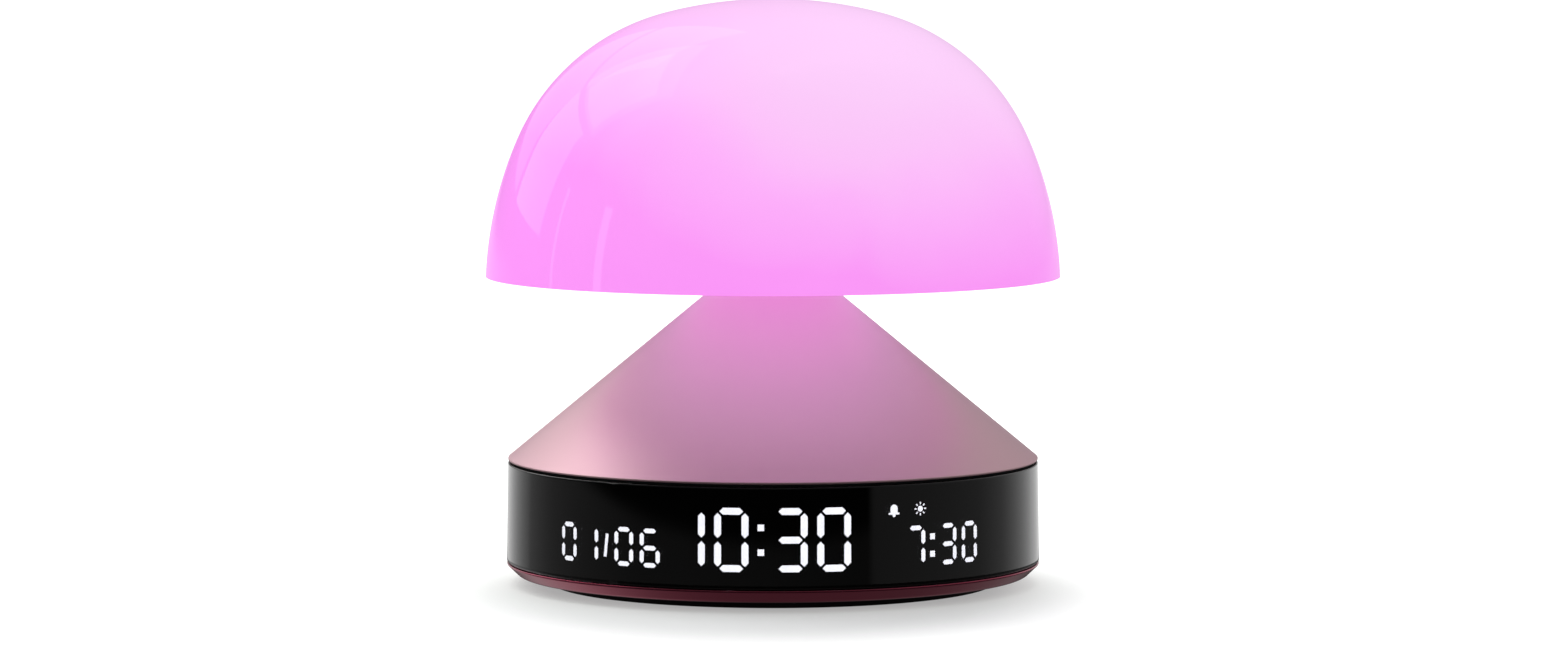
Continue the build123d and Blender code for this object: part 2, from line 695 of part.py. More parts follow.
with BuildPart() as date_bars:
    add([date_blocks, slash()])
    add(cell_block, mode=Mode.INTERSECT)
save(date_bars, "date_bars")

with BuildPart() as alarm_bars:
    add([alarm_blocks, alarm_colon()])
    add(cell_block, mode=Mode.INTERSECT)
save(alarm_bars, "alarm_bars")

with BuildPart() as icon_bars:
    add(icons())
    add(cell_block, mode=Mode.INTERSECT)
save(icon_bars, "icon_bars")

with BuildPart() as unlit_bars:
    add(digits(unlit))
    add(cell_block, mode=Mode.INTERSECT)
save(unlit_bars, "unlit_bars")

with BuildPart() as display_board:
    board_low = band_z + TIME_FOOT - FLEX_MARGIN
    board_high = band_z + TIME_FOOT + TIME_DIGIT[1] + FLEX_MARGIN
    add(ring(flex_inner, cell_inner, board_low, board_high, CELL_HALF_ANGLE))
save(display_board, "display_board")

# ---------------------------------------------------------------------- chassis
# An open drum that stands on the base plate. Its deck carries the cone above and the
# main board below; four pillars take the base's screws.
with BuildPart() as chassis:
    add(ring(chassis_inner, chassis_outer, floor_z, deck_z))
    with BuildSketch(Plane.XY.offset((floor_z + deck_z) / 2)):
        with Locations((0, chassis_outer)):
            Rectangle(REAR_WINDOW_WIDTH, 2 * (chassis_outer - rear_face_y))
    extrude(amount=deck_z - floor_z, both=True, mode=Mode.SUBTRACT)
    add(ring(DECK_OPENING_RADIUS, deck_radius, deck_z, band_top_z))
    with BuildSketch(Plane.XY.offset(deck_z)):
        with GridLocations(*base_screw_spacing, 2, 2):
            Circle(BOSS_RADIUS)
    extrude(amount=floor_z - deck_z)
    with BuildSketch(Plane.XY.offset(deck_z)):
        with GridLocations(*standoff_spacing, 2, 2):
            Circle(STANDOFF_RADIUS)
    extrude(amount=-STANDOFF_LENGTH)
    with BuildSketch(rear_plane(0, rear_face_y, rear_board_middle_z)):
        with GridLocations(2 * rear_boss_x, 1, 2, 1):
            Rectangle(REAR_BOSS_WIDTH, REAR_BOSS_HEIGHT)
    extrude(amount=sqrt(chassis_inner**2 - rear_boss_x**2) - rear_face_y + CHASSIS_WALL / 2)
    with BuildSketch(Plane.XY.offset(floor_z)):
        with GridLocations(*base_screw_spacing, 2, 2):
            Circle(SCREW_RADIUS + PILOT_FIT)
    extrude(amount=SCREW_BITE + 1, mode=Mode.SUBTRACT)
    with BuildSketch(Plane.XY.offset(main_board_top_z)):
        with GridLocations(*standoff_spacing, 2, 2):
            Circle(SCREW_RADIUS + PILOT_FIT)
    extrude(amount=SCREW_BITE + 1, mode=Mode.SUBTRACT)
    with BuildSketch(rear_plane(0, rear_face_y, rear_board_middle_z)):
        with GridLocations(2 * rear_boss_x, 1, 2, 1):
            Circle(SCREW_RADIUS + PILOT_FIT)
    extrude(amount=SCREW_BITE + 1, mode=Mode.SUBTRACT)
    with BuildSketch(Plane.XY.offset(deck_z)):
        with GridLocations(*cone_screw_spacing, 2, 2):
            Circle(SCREW_RADIUS + SCREW_CLEARANCE)
    extrude(amount=DECK_THICKNESS, mode=Mode.SUBTRACT)
save(chassis, "chassis")

with BuildPart() as main_board:
    with BuildSketch(Plane.XY.offset(main_board_z)):
        Circle(main_board_radius)
        with GridLocations(*standoff_spacing, 2, 2):
            Circle(SCREW_RADIUS + SCREW_CLEARANCE, mode=Mode.SUBTRACT)
    extrude(amount=BOARD_THICKNESS)
save(main_board, "main_board")

with BuildPart() as board_parts:
    for x, y, length, width, height in BOARD_PARTS:
        with BuildSketch(Plane.XY.offset(main_board_top_z)):
            with Locations((x * main_board_radius, y * main_board_radius)):
                Rectangle(length, width)
        extrude(amount=height)
    with BuildSketch(Plane.XY.offset(main_board_top_z)):
        with Locations((HEADER_X, 0)):
            Rectangle(HEADER_SIZE[0], HEADER_SIZE[1])
    extrude(amount=HEADER_SIZE[2])
save(board_parts, "board_parts")

with BuildPart() as board_screws:
    with Locations(Location((0, 0, main_board_z), (180, 0, 0))):
        with GridLocations(*standoff_spacing, 2, 2):
            add(screw(BOARD_THICKNESS + SCREW_BITE))
save(board_screws, "board_screws")

with BuildPart() as battery_cell:
    with Locations((0, BATTERY_Y, floor_z)):
        Box(*BATTERY_SIZE, align=(Align.CENTER, Align.CENTER, Align.MIN))
    fillet(battery_cell.edges().filter_by(Axis.X), BATTERY_ROUND)
save(battery_cell, "battery_cell")

with BuildPart() as battery_strap:
    inside = BATTERY_SIZE[1] / 2 + FIT
    outside = inside + STRAP_THICKNESS
    foot_end = outside + STRAP_FOOT
    foot_top_z = floor_z + STRAP_THICKNESS
    with BuildSketch(Plane.YZ.offset(-STRAP_WIDTH / 2)):
        with BuildLine():
            Polyline(
                (BATTERY_Y - foot_end, floor_z),
                (BATTERY_Y - inside, floor_z),
                (BATTERY_Y - inside, battery_top_z),
                (BATTERY_Y + inside, battery_top_z),
                (BATTERY_Y + inside, floor_z),
                (BATTERY_Y + foot_end, floor_z),
                (BATTERY_Y + foot_end, foot_top_z),
                (BATTERY_Y + outside, foot_top_z),
                (BATTERY_Y + outside, battery_top_z + STRAP_THICKNESS),
                (BATTERY_Y - outside, battery_top_z + STRAP_THICKNESS),
                (BATTERY_Y - outside, foot_top_z),
                (BATTERY_Y - foot_end, foot_top_z),
                close=True,
            )
        make_face()
    extrude(amount=STRAP_WIDTH)
    with BuildSketch(Plane.XY.offset(floor_z)):
        with Locations((0, BATTERY_Y)):
            with GridLocations(1, 2 * strap_screw_reach, 1, 2):
                Circle(SCREW_RADIUS + SCREW_CLEARANCE)
    extrude(amount=STRAP_THICKNESS, mode=Mode.SUBTRACT)
save(battery_strap, "battery_strap")

with BuildPart() as strap_screws:
    with Locations((0, BATTERY_Y, floor_z + STRAP_THICKNESS)):
        with GridLocations(1, 2 * strap_screw_reach, 1, 2):
            add(screw(STRAP_THICKNESS + FLOOR_PILOT_DEPTH - PILOT_FIT))
save(strap_screws, "strap_screws")

# ---------------------------------------------------------------------- speaker
flange_inner = SPEAKER_RADIUS - SPEAKER_FLANGE_WIDTH
flange_top = SPEAKER_FLANGE_THICKNESS
basket_top = BASKET_HEIGHT

with BuildPart() as speaker_gasket:
    with Locations((0, SPEAKER_Y, floor_z)):
        add(ring(flange_inner, SPEAKER_RADIUS, 0, SPEAKER_GASKET))
save(speaker_gasket, "speaker_gasket")

with BuildPart() as speaker_frame:
    with Locations((0, SPEAKER_Y, speaker_z)):
        add(
            lathe(
                (flange_inner, 0),
                (SPEAKER_RADIUS, 0),
                (SPEAKER_RADIUS, flange_top),
                (MAGNET_RADIUS, basket_top),
                (0, basket_top),
                (0, basket_top - flange_top),
                (MAGNET_RADIUS - flange_top, basket_top - flange_top),
                (flange_inner, flange_top / 2),
            )
        )
    with BuildSketch(Plane.XY.offset(speaker_z)):
        with Locations((0, SPEAKER_Y)):
            SlotCenterToCenter(2 * SPEAKER_EAR_X, 2 * SCREW_HEAD_RADIUS)
            Circle(SPEAKER_RADIUS - SPEAKER_FLANGE_WIDTH / 2, mode=Mode.SUBTRACT)
            with GridLocations(2 * SPEAKER_EAR_X, 1, 2, 1):
                Circle(SCREW_RADIUS + SCREW_CLEARANCE, mode=Mode.SUBTRACT)
    extrude(amount=SPEAKER_FLANGE_THICKNESS)
save(speaker_frame, "speaker_frame")

# The membrane is a shallow cone glued in under the basket's rim.
with BuildPart() as speaker_membrane:
    rise = basket_top - flange_top - 2 * MEMBRANE_THICKNESS
    with Locations((0, SPEAKER_Y, speaker_z)):
        add(
            lathe(
                (0, rise - MEMBRANE_THICKNESS),
                (MAGNET_RADIUS / 2, rise - MEMBRANE_THICKNESS),
                (flange_inner - FIT, 0),
                (flange_inner - FIT, flange_top / 2),
                (MAGNET_RADIUS / 2, rise),
                (0, rise),
            )
        )
save(speaker_membrane, "speaker_membrane")

with BuildPart() as speaker_magnet:
    with Locations((0, SPEAKER_Y, speaker_z + basket_top)):
        Cylinder(
            MAGNET_RADIUS, MAGNET_HEIGHT, align=(Align.CENTER, Align.CENTER, Align.MIN)
        )
save(speaker_magnet, "speaker_magnet")

with BuildPart() as speaker_screws:
    with Locations((0, SPEAKER_Y, speaker_z + SPEAKER_FLANGE_THICKNESS)):
        with GridLocations(2 * SPEAKER_EAR_X, 1, 2, 1):
            add(screw(SPEAKER_FLANGE_THICKNESS + FLOOR_PILOT_DEPTH))
save(speaker_screws, "speaker_screws")

# ----------------------------------------------------------- buttons at the back
with BuildPart() as rear_board:
    with BuildSketch(rear_plane(0, rear_board_y, rear_board_middle_z)):
        Rectangle(REAR_BOARD_WIDTH, REAR_BOARD_HEIGHT)
        with GridLocations(2 * rear_boss_x, 1, 2, 1):
            Circle(SCREW_RADIUS + SCREW_CLEARANCE, mode=Mode.SUBTRACT)
    extrude(amount=BOARD_THICKNESS)
save(rear_board, "rear_board")

with BuildPart() as rear_board_screws:
    with Locations(Location((0, rear_board_y, rear_board_middle_z), (90, 0, 0))):
        with GridLocations(2 * rear_boss_x, 1, 2, 1):
            add(screw(BOARD_THICKNESS + SCREW_BITE))
save(rear_board_screws, "rear_board_screws")

with BuildPart() as rear_switches:
    with BuildSketch(rear_plane(0, rear_face_y, button_z)):
        with Locations(*[(x, 0) for x in button_xs]):
            RectangleRounded(SWITCH_SIDE, SWITCH_SIDE, SWITCH_SIDE / 12)
    extrude(amount=SWITCH_HEIGHT)
    with BuildSketch(rear_plane(0, rear_face_y + SWITCH_HEIGHT, button_z)):
        with Locations(*[(x, 0) for x in button_xs]):
            Circle(PLUNGER_RADIUS)
    extrude(amount=ACTUATOR_HEIGHT)
save(rear_switches, "rear_switches")

# Each button is a cap that stands proud of the band, a flange that keeps it from
# falling out and a stem that reaches back to its switch. Names run from -X to +X.
for button_name, x in zip(BUTTON_NAMES, button_xs):
    flange_y = sqrt(mask_inner**2 - (abs(x) + BUTTON_FLANGE_RADIUS) ** 2) - BUTTON_FLANGE_GAP
    cap_y = sqrt(BAND_RADIUS**2 - x**2) + BUTTON_PROUD
    with BuildPart() as button:
        with BuildSketch(rear_plane(x, flange_y, button_z)):
            Circle(BUTTON_RADIUS)
        extrude(amount=cap_y - flange_y)
        fillet(button.edges().sort_by(Axis.Y)[-1], BUTTON_ROUND)
        with BuildSketch(rear_plane(x, flange_y, button_z)):
            Circle(BUTTON_FLANGE_RADIUS)
        extrude(amount=-BUTTON_FLANGE_THICKNESS)
        with BuildSketch(rear_plane(x, button_end_y, button_z)):
            Circle(BUTTON_STEM_RADIUS)
        extrude(amount=flange_y - button_end_y)
    save(button, button_name)

# ------------------------------------------------------------------- power inlet
with BuildPart() as inlet_board:
    with BuildSketch(Plane.XY.offset(inlet_board_z)):
        with Locations((0, inlet_board_y)):
            Rectangle(*INLET_BOARD_SIZE)
        with Locations((0, inlet_screw_y)):
            with GridLocations(INLET_SCREW_SPACING, 1, 2, 1):
                Circle(SCREW_RADIUS + SCREW_CLEARANCE, mode=Mode.SUBTRACT)
    extrude(amount=SMALL_BOARD_THICKNESS)
save(inlet_board, "inlet_board")

with BuildPart() as inlet_shell:
    with BuildSketch(rear_plane(0, inlet_mouth_y - INLET_LENGTH, inlet_z)):
        SlotOverall(INLET_WIDTH, INLET_HEIGHT)
    extrude(amount=INLET_LENGTH)
    with BuildSketch(rear_plane(0, inlet_mouth_y, inlet_z)):
        SlotOverall(INLET_WIDTH - 2 * INLET_WALL, INLET_HEIGHT - 2 * INLET_WALL)
    extrude(amount=4 * INLET_WALL - INLET_LENGTH, mode=Mode.SUBTRACT)
save(inlet_shell, "inlet_shell")

with BuildPart() as inlet_tongue:
    with BuildSketch(rear_plane(0, inlet_mouth_y - INLET_LENGTH + 4 * INLET_WALL, inlet_z)):
        Rectangle(TONGUE_WIDTH, TONGUE_THICKNESS)
    extrude(amount=TONGUE_LENGTH)
save(inlet_tongue, "inlet_tongue")

with BuildPart() as inlet_screws:
    with Locations((0, inlet_screw_y, inlet_board_top_z)):
        with GridLocations(INLET_SCREW_SPACING, 1, 2, 1):
            add(screw(SMALL_BOARD_THICKNESS + INLET_LEDGE_HEIGHT + INLET_SCREW_BITE / 2))
save(inlet_screws, "inlet_screws")

# ------------------------------------------------------------------ seal and cone
with BuildPart() as seal_ring:
    seal_outer = band_top_radius - SEAL_SETBACK
    add(ring(seal_outer - SEAL_WIDTH, seal_outer, band_top_z, cone_z))
save(seal_ring, "seal_ring")


def cone_inside(height, wall=cone_level_wall):
    """Radius of the cone's inside, or of a cone that deep in its wall, at a height."""
    return cone_radius - wall - (height - slope_z) * cone_slope


with BuildPart() as cone_shell:
    with BuildSketch(Plane.XY.offset(band_top_z)):
        with GridLocations(*cone_screw_spacing, 2, 2):
            Circle(BOSS_RADIUS)
    extrude(amount=neck_z - band_top_z)
    middle_wall = cone_level_wall / 2
    add(
        lathe(
            (0, band_top_z),
            (cone_inside(band_top_z, middle_wall), band_top_z),
            (cone_inside(neck_z, middle_wall), neck_z),
            (0, neck_z),
        ),
        mode=Mode.INTERSECT,
    )
    add(
        lathe(
            (cone_inside(cone_z), cone_z),
            (cone_radius, cone_z),
            (cone_radius, slope_z),
            (NECK_RADIUS, neck_z),
            (STEM_THREAD_RADIUS + FIT, neck_z),
            (STEM_THREAD_RADIUS + FIT, neck_underside_z),
            (cone_inside(neck_underside_z), neck_underside_z),
        )
    )
    neck_edges = cone_shell.edges().filter_by(GeomType.CIRCLE).group_by(Axis.Z)[-1]
    fillet(neck_edges.sort_by(SortBy.RADIUS)[-1], CONE_TOP_ROUND)
    with BuildSketch(Plane.XY.offset(band_top_z)):
        with GridLocations(*cone_screw_spacing, 2, 2):
            Circle(SCREW_RADIUS + PILOT_FIT)
    extrude(amount=SCREW_BITE + 1, mode=Mode.SUBTRACT)
save(cone_shell, "cone_shell")

with BuildPart() as cone_screws:
    with Locations(Location((0, 0, deck_z), (180, 0, 0))):
        with GridLocations(*cone_screw_spacing, 2, 2):
            add(screw(DECK_THICKNESS + SCREW_BITE))
save(cone_screws, "cone_screws")

# ------------------------------------------------------------- stem of the head
with BuildPart() as neck_stem:
    thread_end_z = neck_underside_z - NUT_HEIGHT - NUT_THREAD_SHOWS
    add(
        lathe(
            (STEM_BORE_RADIUS, thread_end_z),
            (STEM_THREAD_RADIUS, thread_end_z),
            (STEM_THREAD_RADIUS, neck_z),
            (STEM_FLANGE_RADIUS, neck_z),
            (STEM_FLANGE_RADIUS, spring_z),
            (STEM_RADIUS, spring_z),
            (STEM_RADIUS, clip_z),
            (groove_radius, clip_z),
            (groove_radius, clip_z + CLIP_THICKNESS),
            (STEM_RADIUS, clip_z + CLIP_THICKNESS),
            (STEM_RADIUS, stem_top_z),
            (switch_seat_radius, stem_top_z),
            (switch_seat_radius, switch_board_z),
            (STEM_BORE_RADIUS, switch_board_z),
        )
    )
    with BuildSketch(Plane.XY.offset(spring_z)):
        with Locations((STEM_FLAT, 0)):
            Rectangle(STEM_RADIUS, 4 * STEM_RADIUS, align=(Align.MIN, Align.CENTER))
    extrude(amount=clip_z - spring_z, mode=Mode.SUBTRACT)
save(neck_stem, "neck_stem")

with BuildPart() as stem_nut:
    with BuildSketch(Plane.XY.offset(neck_underside_z)):
        RegularPolygon(NUT_ACROSS_FLATS / 2, 6, major_radius=False)
        Circle(STEM_THREAD_RADIUS + PILOT_FIT, mode=Mode.SUBTRACT)
    extrude(amount=-NUT_HEIGHT)
save(stem_nut, "stem_nut")

with BuildPart() as retaining_clip:
    with BuildSketch(Plane.XY.offset(clip_z)):
        Circle(groove_radius + CLIP_WIDTH)
        Circle(groove_radius + PILOT_FIT, mode=Mode.SUBTRACT)
        with Locations((0, -groove_radius)):
            Rectangle(CLIP_MOUTH, 2 * CLIP_WIDTH, mode=Mode.SUBTRACT)
    extrude(amount=CLIP_THICKNESS)
save(retaining_clip, "retaining_clip")

with BuildPart() as switch_board:
    with BuildSketch(Plane.XY.offset(switch_board_z)):
        Circle(switch_board_radius)
    extrude(amount=SMALL_BOARD_THICKNESS)
save(switch_board, "switch_board")

with BuildPart() as head_switch:
    with Locations((0, 0, switch_board_top_z)):
        add(tact_switch(PLUNGER_LENGTH - PLUNGER_REACH + HEAD_TRAVEL + PLUNGER_WELL))
save(head_switch, "head_switch")

with BuildPart() as head_plunger:
    with BuildSketch(Plane.XY.offset(plunger_top_z)):
        Circle(PLUNGER_RADIUS)
    extrude(amount=-PLUNGER_LENGTH)
save(head_plunger, "head_plunger")

with BuildPart() as return_spring:
    coil_height = SPRING_LENGTH - SPRING_WIRE
    with BuildLine(Plane.XY.offset(spring_z + SPRING_WIRE / 2)):
        coil = Helix(coil_height / SPRING_TURNS, coil_height, SPRING_RADIUS)
    with BuildSketch(Plane(origin=coil @ 0, x_dir=(1, 0, 0), z_dir=coil % 0)):
        Rectangle(SPRING_WIRE, SPRING_WIRE)
    sweep(is_frenet=True)
save(return_spring, "return_spring")

# ------------------------------------------------------------------ head and shade
with BuildPart() as head_hub:
    add(
        lathe(
            (0, hub_z),
            (hub_radius, hub_z),
            (hub_radius, flange_z),
            (HUB_FLANGE_RADIUS, flange_z),
            (HUB_FLANGE_RADIUS, flange_top_z),
            (hub_radius, flange_top_z),
            (hub_radius, clip_z),
            (0, clip_z),
        )
    )
    with BuildSketch(Plane.XY.offset(flange_top_z)):
        with PolarLocations(POST_PITCH_RADIUS, 4):
            Circle(POST_RADIUS)
    extrude(amount=carrier_z - flange_top_z)
    with BuildSketch(Plane.XY.offset(hub_z)):
        Circle(SPRING_POCKET_RADIUS)
    extrude(amount=pocket_top_z - hub_z, mode=Mode.SUBTRACT)
    with BuildSketch(Plane.XY.offset(pocket_top_z)):
        Circle(STEM_RADIUS + SLIDE_FIT)
        with Locations((STEM_FLAT + SLIDE_FIT, 0)):
            Rectangle(
                STEM_RADIUS, 4 * STEM_RADIUS, align=(Align.MIN, Align.CENTER), mode=Mode.SUBTRACT
            )
    extrude(amount=clip_z - pocket_top_z, mode=Mode.SUBTRACT)
    with BuildSketch(Plane.XY.offset(flange_z)):
        with PolarLocations(HUB_SCREW_RADIUS, 4, start_angle=45):
            Circle(SCREW_RADIUS + SCREW_CLEARANCE)
    extrude(amount=HUB_FLANGE_THICKNESS, mode=Mode.SUBTRACT)
    with BuildSketch(Plane.XY.offset(carrier_z)):
        with PolarLocations(POST_PITCH_RADIUS, 4):
            Circle(SCREW_RADIUS + PILOT_FIT)
    extrude(amount=-SCREW_BITE - 1, mode=Mode.SUBTRACT)
save(head_hub, "head_hub")


def joint_of_arcs(centre_a, radius_a, centre_b, radius_b):
    """The outer crossing of two circles, whose centres are (radius, height) points."""
    run, rise = centre_b[0] - centre_a[0], centre_b[1] - centre_a[1]
    apart = hypot(run, rise)
    along = (apart**2 + radius_a**2 - radius_b**2) / (2 * apart)
    off = sqrt(radius_a**2 - along**2)
    return (
        centre_a[0] + (along * run + off * abs(rise)) / apart,
        centre_a[1] + (along * rise + off * abs(run)) / apart,
    )


# The dome's outline is three arcs, each tangent to the next: crown, shoulder and side.
# Its inside keeps their centres, with radii shorter by the wall.
crown_centre = (0.0, shade_top_z - CROWN_RADIUS)
side_centre = (
    SHADE_RADIUS - SIDE_RADIUS * cos(radians(RIM_DRAFT)),
    rim_z - SIDE_RADIUS * sin(radians(RIM_DRAFT)),
)
shoulder_centre = joint_of_arcs(
    crown_centre, CROWN_RADIUS - SHOULDER_RADIUS, side_centre, SIDE_RADIUS - SHOULDER_RADIUS
)
crown_end = degrees(
    atan2(shoulder_centre[1] - crown_centre[1], shoulder_centre[0] - crown_centre[0])
)
side_end = degrees(
    atan2(shoulder_centre[1] - side_centre[1], shoulder_centre[0] - side_centre[0])
)


def side_radius(height, wall):
    """Radius, at a height near the rim, of the side's surface that deep in the wall."""
    drop = height - side_centre[1]
    return side_centre[0] + sqrt((SIDE_RADIUS - wall) ** 2 - drop**2)


def side_angle(height, wall):
    """Angle above level, at the side's centre, of that surface at that height."""
    return degrees(atan2(height - side_centre[1], side_radius(height, wall) - side_centre[0]))


with BuildPart() as shade_dome:
    with BuildSketch(Plane.XZ):
        with BuildLine():
            outer_start = side_angle(rim_z, 0)
            CenterArc(side_centre, SIDE_RADIUS, outer_start, side_end - outer_start)
            CenterArc(shoulder_centre, SHOULDER_RADIUS, side_end, crown_end - side_end)
            CenterArc(crown_centre, CROWN_RADIUS, crown_end, 90 - crown_end)
            Line((0, shade_top_z), (0, shade_top_z - SHADE_WALL))
            CenterArc(crown_centre, CROWN_RADIUS - SHADE_WALL, 90, crown_end - 90)
            CenterArc(shoulder_centre, SHOULDER_RADIUS - SHADE_WALL, crown_end, side_end - crown_end)
            inner_start = side_angle(underside_top_z, SHADE_WALL)
            CenterArc(side_centre, SIDE_RADIUS - SHADE_WALL, side_end, inner_start - side_end)
            Line(
                (side_radius(underside_top_z, SHADE_WALL), underside_top_z),
                (side_radius(underside_top_z, RIM_WALL), underside_top_z),
            )
            rebate_start = side_angle(underside_top_z, RIM_WALL)
            rebate_end = side_angle(rim_z, RIM_WALL)
            CenterArc(side_centre, SIDE_RADIUS - RIM_WALL, rebate_start, rebate_end - rebate_start)
            Line((side_radius(rim_z, RIM_WALL), rim_z), (side_radius(rim_z, 0), rim_z))
        make_face()
    revolve(axis=Axis.Z)
    rim_edges = shade_dome.edges().group_by(Axis.Z)[0]
    fillet(rim_edges, RIM_ROUND)
save(shade_dome, "shade_dome")

# The underside closes the dome. It snaps against the step inside the dome's rim.
with BuildPart() as underside_diffuser:
    with BuildSketch(Plane.XY.offset(underside_z)):
        Circle(side_radius(underside_top_z, RIM_WALL) - FIT)
        Circle(hub_radius + FIT, mode=Mode.SUBTRACT)
    extrude(amount=UNDERSIDE_THICKNESS)
    with BuildSketch(Plane.XY.offset(underside_top_z)):
        with PolarLocations(HUB_SCREW_RADIUS, 4, start_angle=45):
            Circle(UNDERSIDE_BOSS_RADIUS)
    extrude(amount=UNDERSIDE_BOSS_HEIGHT)
    with BuildSketch(Plane.XY.offset(flange_z)):
        with PolarLocations(HUB_SCREW_RADIUS, 4, start_angle=45):
            Circle(SCREW_RADIUS + PILOT_FIT)
    extrude(amount=-(UNDERSIDE_BOSS_HEIGHT + UNDERSIDE_THICKNESS / 2), mode=Mode.SUBTRACT)
save(underside_diffuser, "underside_diffuser")

with BuildPart() as hub_screws:
    with Locations((0, 0, flange_top_z)):
        with PolarLocations(HUB_SCREW_RADIUS, 4, start_angle=45):
            add(screw(HUB_FLANGE_THICKNESS + UNDERSIDE_BOSS_HEIGHT))
save(hub_screws, "hub_screws")

# The carrier is a shallow tray for the lamp's board. The boss under it works the switch.
lead_middle_x = LEAD_OFFSET + LEAD_BOW / 2
with BuildPart() as led_carrier:
    add(
        lathe(
            (0, carrier_z),
            (carrier_radius, carrier_z),
            (carrier_radius, led_board_z + CARRIER_LIP_HEIGHT),
            (lip_inner, led_board_z + CARRIER_LIP_HEIGHT),
            (lip_inner, led_board_z),
            (0, led_board_z),
        )
    )
    with BuildSketch(Plane.XY.offset(carrier_z)):
        Circle(PRESSING_BOSS_RADIUS)
    extrude(amount=-PRESSING_BOSS_LENGTH)
    with BuildSketch(Plane.XY.offset(carrier_z)):
        with PolarLocations(POST_PITCH_RADIUS, 4):
            Circle(SCREW_RADIUS + SCREW_CLEARANCE)
        with Locations((lead_middle_x, 0)):
            Rectangle(LEAD_BOW + LEAD_SLOT_MARGIN, LEAD_WIDTH + LEAD_SLOT_MARGIN)
    extrude(amount=CARRIER_THICKNESS, mode=Mode.SUBTRACT)
save(led_carrier, "led_carrier")

with BuildPart() as led_board:
    with BuildSketch(Plane.XY.offset(led_board_z)):
        Circle(LED_BOARD_RADIUS)
        with PolarLocations(POST_PITCH_RADIUS, 4):
            Circle(SCREW_RADIUS + SCREW_CLEARANCE, mode=Mode.SUBTRACT)
    extrude(amount=BOARD_THICKNESS)
save(led_board, "led_board")

with BuildPart() as led_packages:
    with BuildSketch(Plane.XY.offset(led_board_top_z)):
        for pitch_radius, count in LED_RINGS:
            with PolarLocations(pitch_radius, count, start_angle=180 / count):
                Rectangle(LED_SIDE, LED_SIDE)
    extrude(amount=LED_HEIGHT)
save(led_packages, "led_packages")

with BuildPart() as carrier_screws:
    with Locations((0, 0, led_board_top_z)):
        with PolarLocations(POST_PITCH_RADIUS, 4):
            add(screw(BOARD_THICKNESS + CARRIER_THICKNESS + SCREW_BITE))
save(carrier_screws, "carrier_screws")

# A flexible lead, bowed so that it can give, feeds the lamp's board, which moves.
with BuildPart() as led_lead:
    with BuildSketch(Plane.XZ):
        with BuildLine():
            Spline(
                (LEAD_OFFSET, switch_board_top_z),
                (LEAD_OFFSET + LEAD_BOW, (switch_board_top_z + led_board_z) / 2),
                (LEAD_OFFSET, led_board_z),
                tangents=((0, 1), (0, 1)),
            )
        trace(line_width=LEAD_THICKNESS)
    extrude(amount=LEAD_WIDTH / 2, both=True)
save(led_lead, "led_lead")

# The lamp's cable climbs from the main board through the cone and the stem's bore.
with BuildPart() as head_cable:
    with BuildLine(Plane.XZ):
        cable_foot_z = main_board_top_z + HEADER_SIZE[2]
        cable_bend_z = band_top_z + CABLE_BEND
        cable = FilletPolyline(
            (HEADER_X, cable_foot_z),
            (HEADER_X, cable_bend_z),
            (0, cable_bend_z + CABLE_BEND + HEADER_X),
            (0, switch_board_z),
            radius=CABLE_BEND,
        )
    with BuildSketch(Plane(origin=cable @ 0, z_dir=cable % 0)):
        Circle(CABLE_RADIUS)
    sweep()
save(head_cable, "head_cable")
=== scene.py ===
import bmesh
import bpy
import numpy as np
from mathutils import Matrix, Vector


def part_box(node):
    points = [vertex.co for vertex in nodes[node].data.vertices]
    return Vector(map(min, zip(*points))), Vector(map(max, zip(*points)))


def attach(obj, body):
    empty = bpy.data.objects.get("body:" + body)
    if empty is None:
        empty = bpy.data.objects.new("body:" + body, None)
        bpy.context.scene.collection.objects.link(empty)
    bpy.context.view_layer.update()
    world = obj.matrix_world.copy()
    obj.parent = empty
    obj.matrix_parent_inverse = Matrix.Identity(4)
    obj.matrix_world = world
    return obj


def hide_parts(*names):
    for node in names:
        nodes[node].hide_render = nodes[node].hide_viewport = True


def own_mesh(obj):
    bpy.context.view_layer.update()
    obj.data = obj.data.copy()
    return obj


# A sunrise alarm clock: a glowing dome on the tip of an anodised cone, over a drum whose
# smoked band covers a curved display. Metres, in the row's own frame, front towards -Y.
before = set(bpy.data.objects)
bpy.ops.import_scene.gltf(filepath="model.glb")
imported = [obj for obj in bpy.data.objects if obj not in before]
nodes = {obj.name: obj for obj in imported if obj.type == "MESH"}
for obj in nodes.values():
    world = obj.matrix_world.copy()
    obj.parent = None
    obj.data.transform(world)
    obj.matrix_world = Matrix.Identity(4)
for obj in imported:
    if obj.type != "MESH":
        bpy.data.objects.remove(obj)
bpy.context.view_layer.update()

# ------------------------------------------------------------------ foot
# A ring of matt black rubber, narrower than the drum, keeps the clock from sliding. Its
# tongue sits in a groove of the base plate, and it covers the screws of the base.
crease = np.radians(30.0)


def surface(name, points, faces):
    """Puts arrays of points and faces into a mesh whose normals point outwards, with its
    doubles merged and every edge sharper than the crease angle kept crisp."""
    mesh = bpy.data.meshes.new(name)
    mesh.from_pydata(points.tolist(), [], faces.tolist())
    shape = bmesh.new()
    shape.from_mesh(mesh)
    bmesh.ops.remove_doubles(shape, verts=shape.verts, dist=1e-7)
    bmesh.ops.recalc_face_normals(shape, faces=shape.faces)
    shape.to_mesh(mesh)
    shape.free()
    mesh.shade_smooth()
    mesh.set_sharp_from_angle(angle=crease)
    piece = bpy.data.objects.new(name, mesh)
    bpy.context.scene.collection.objects.link(piece)
    return piece


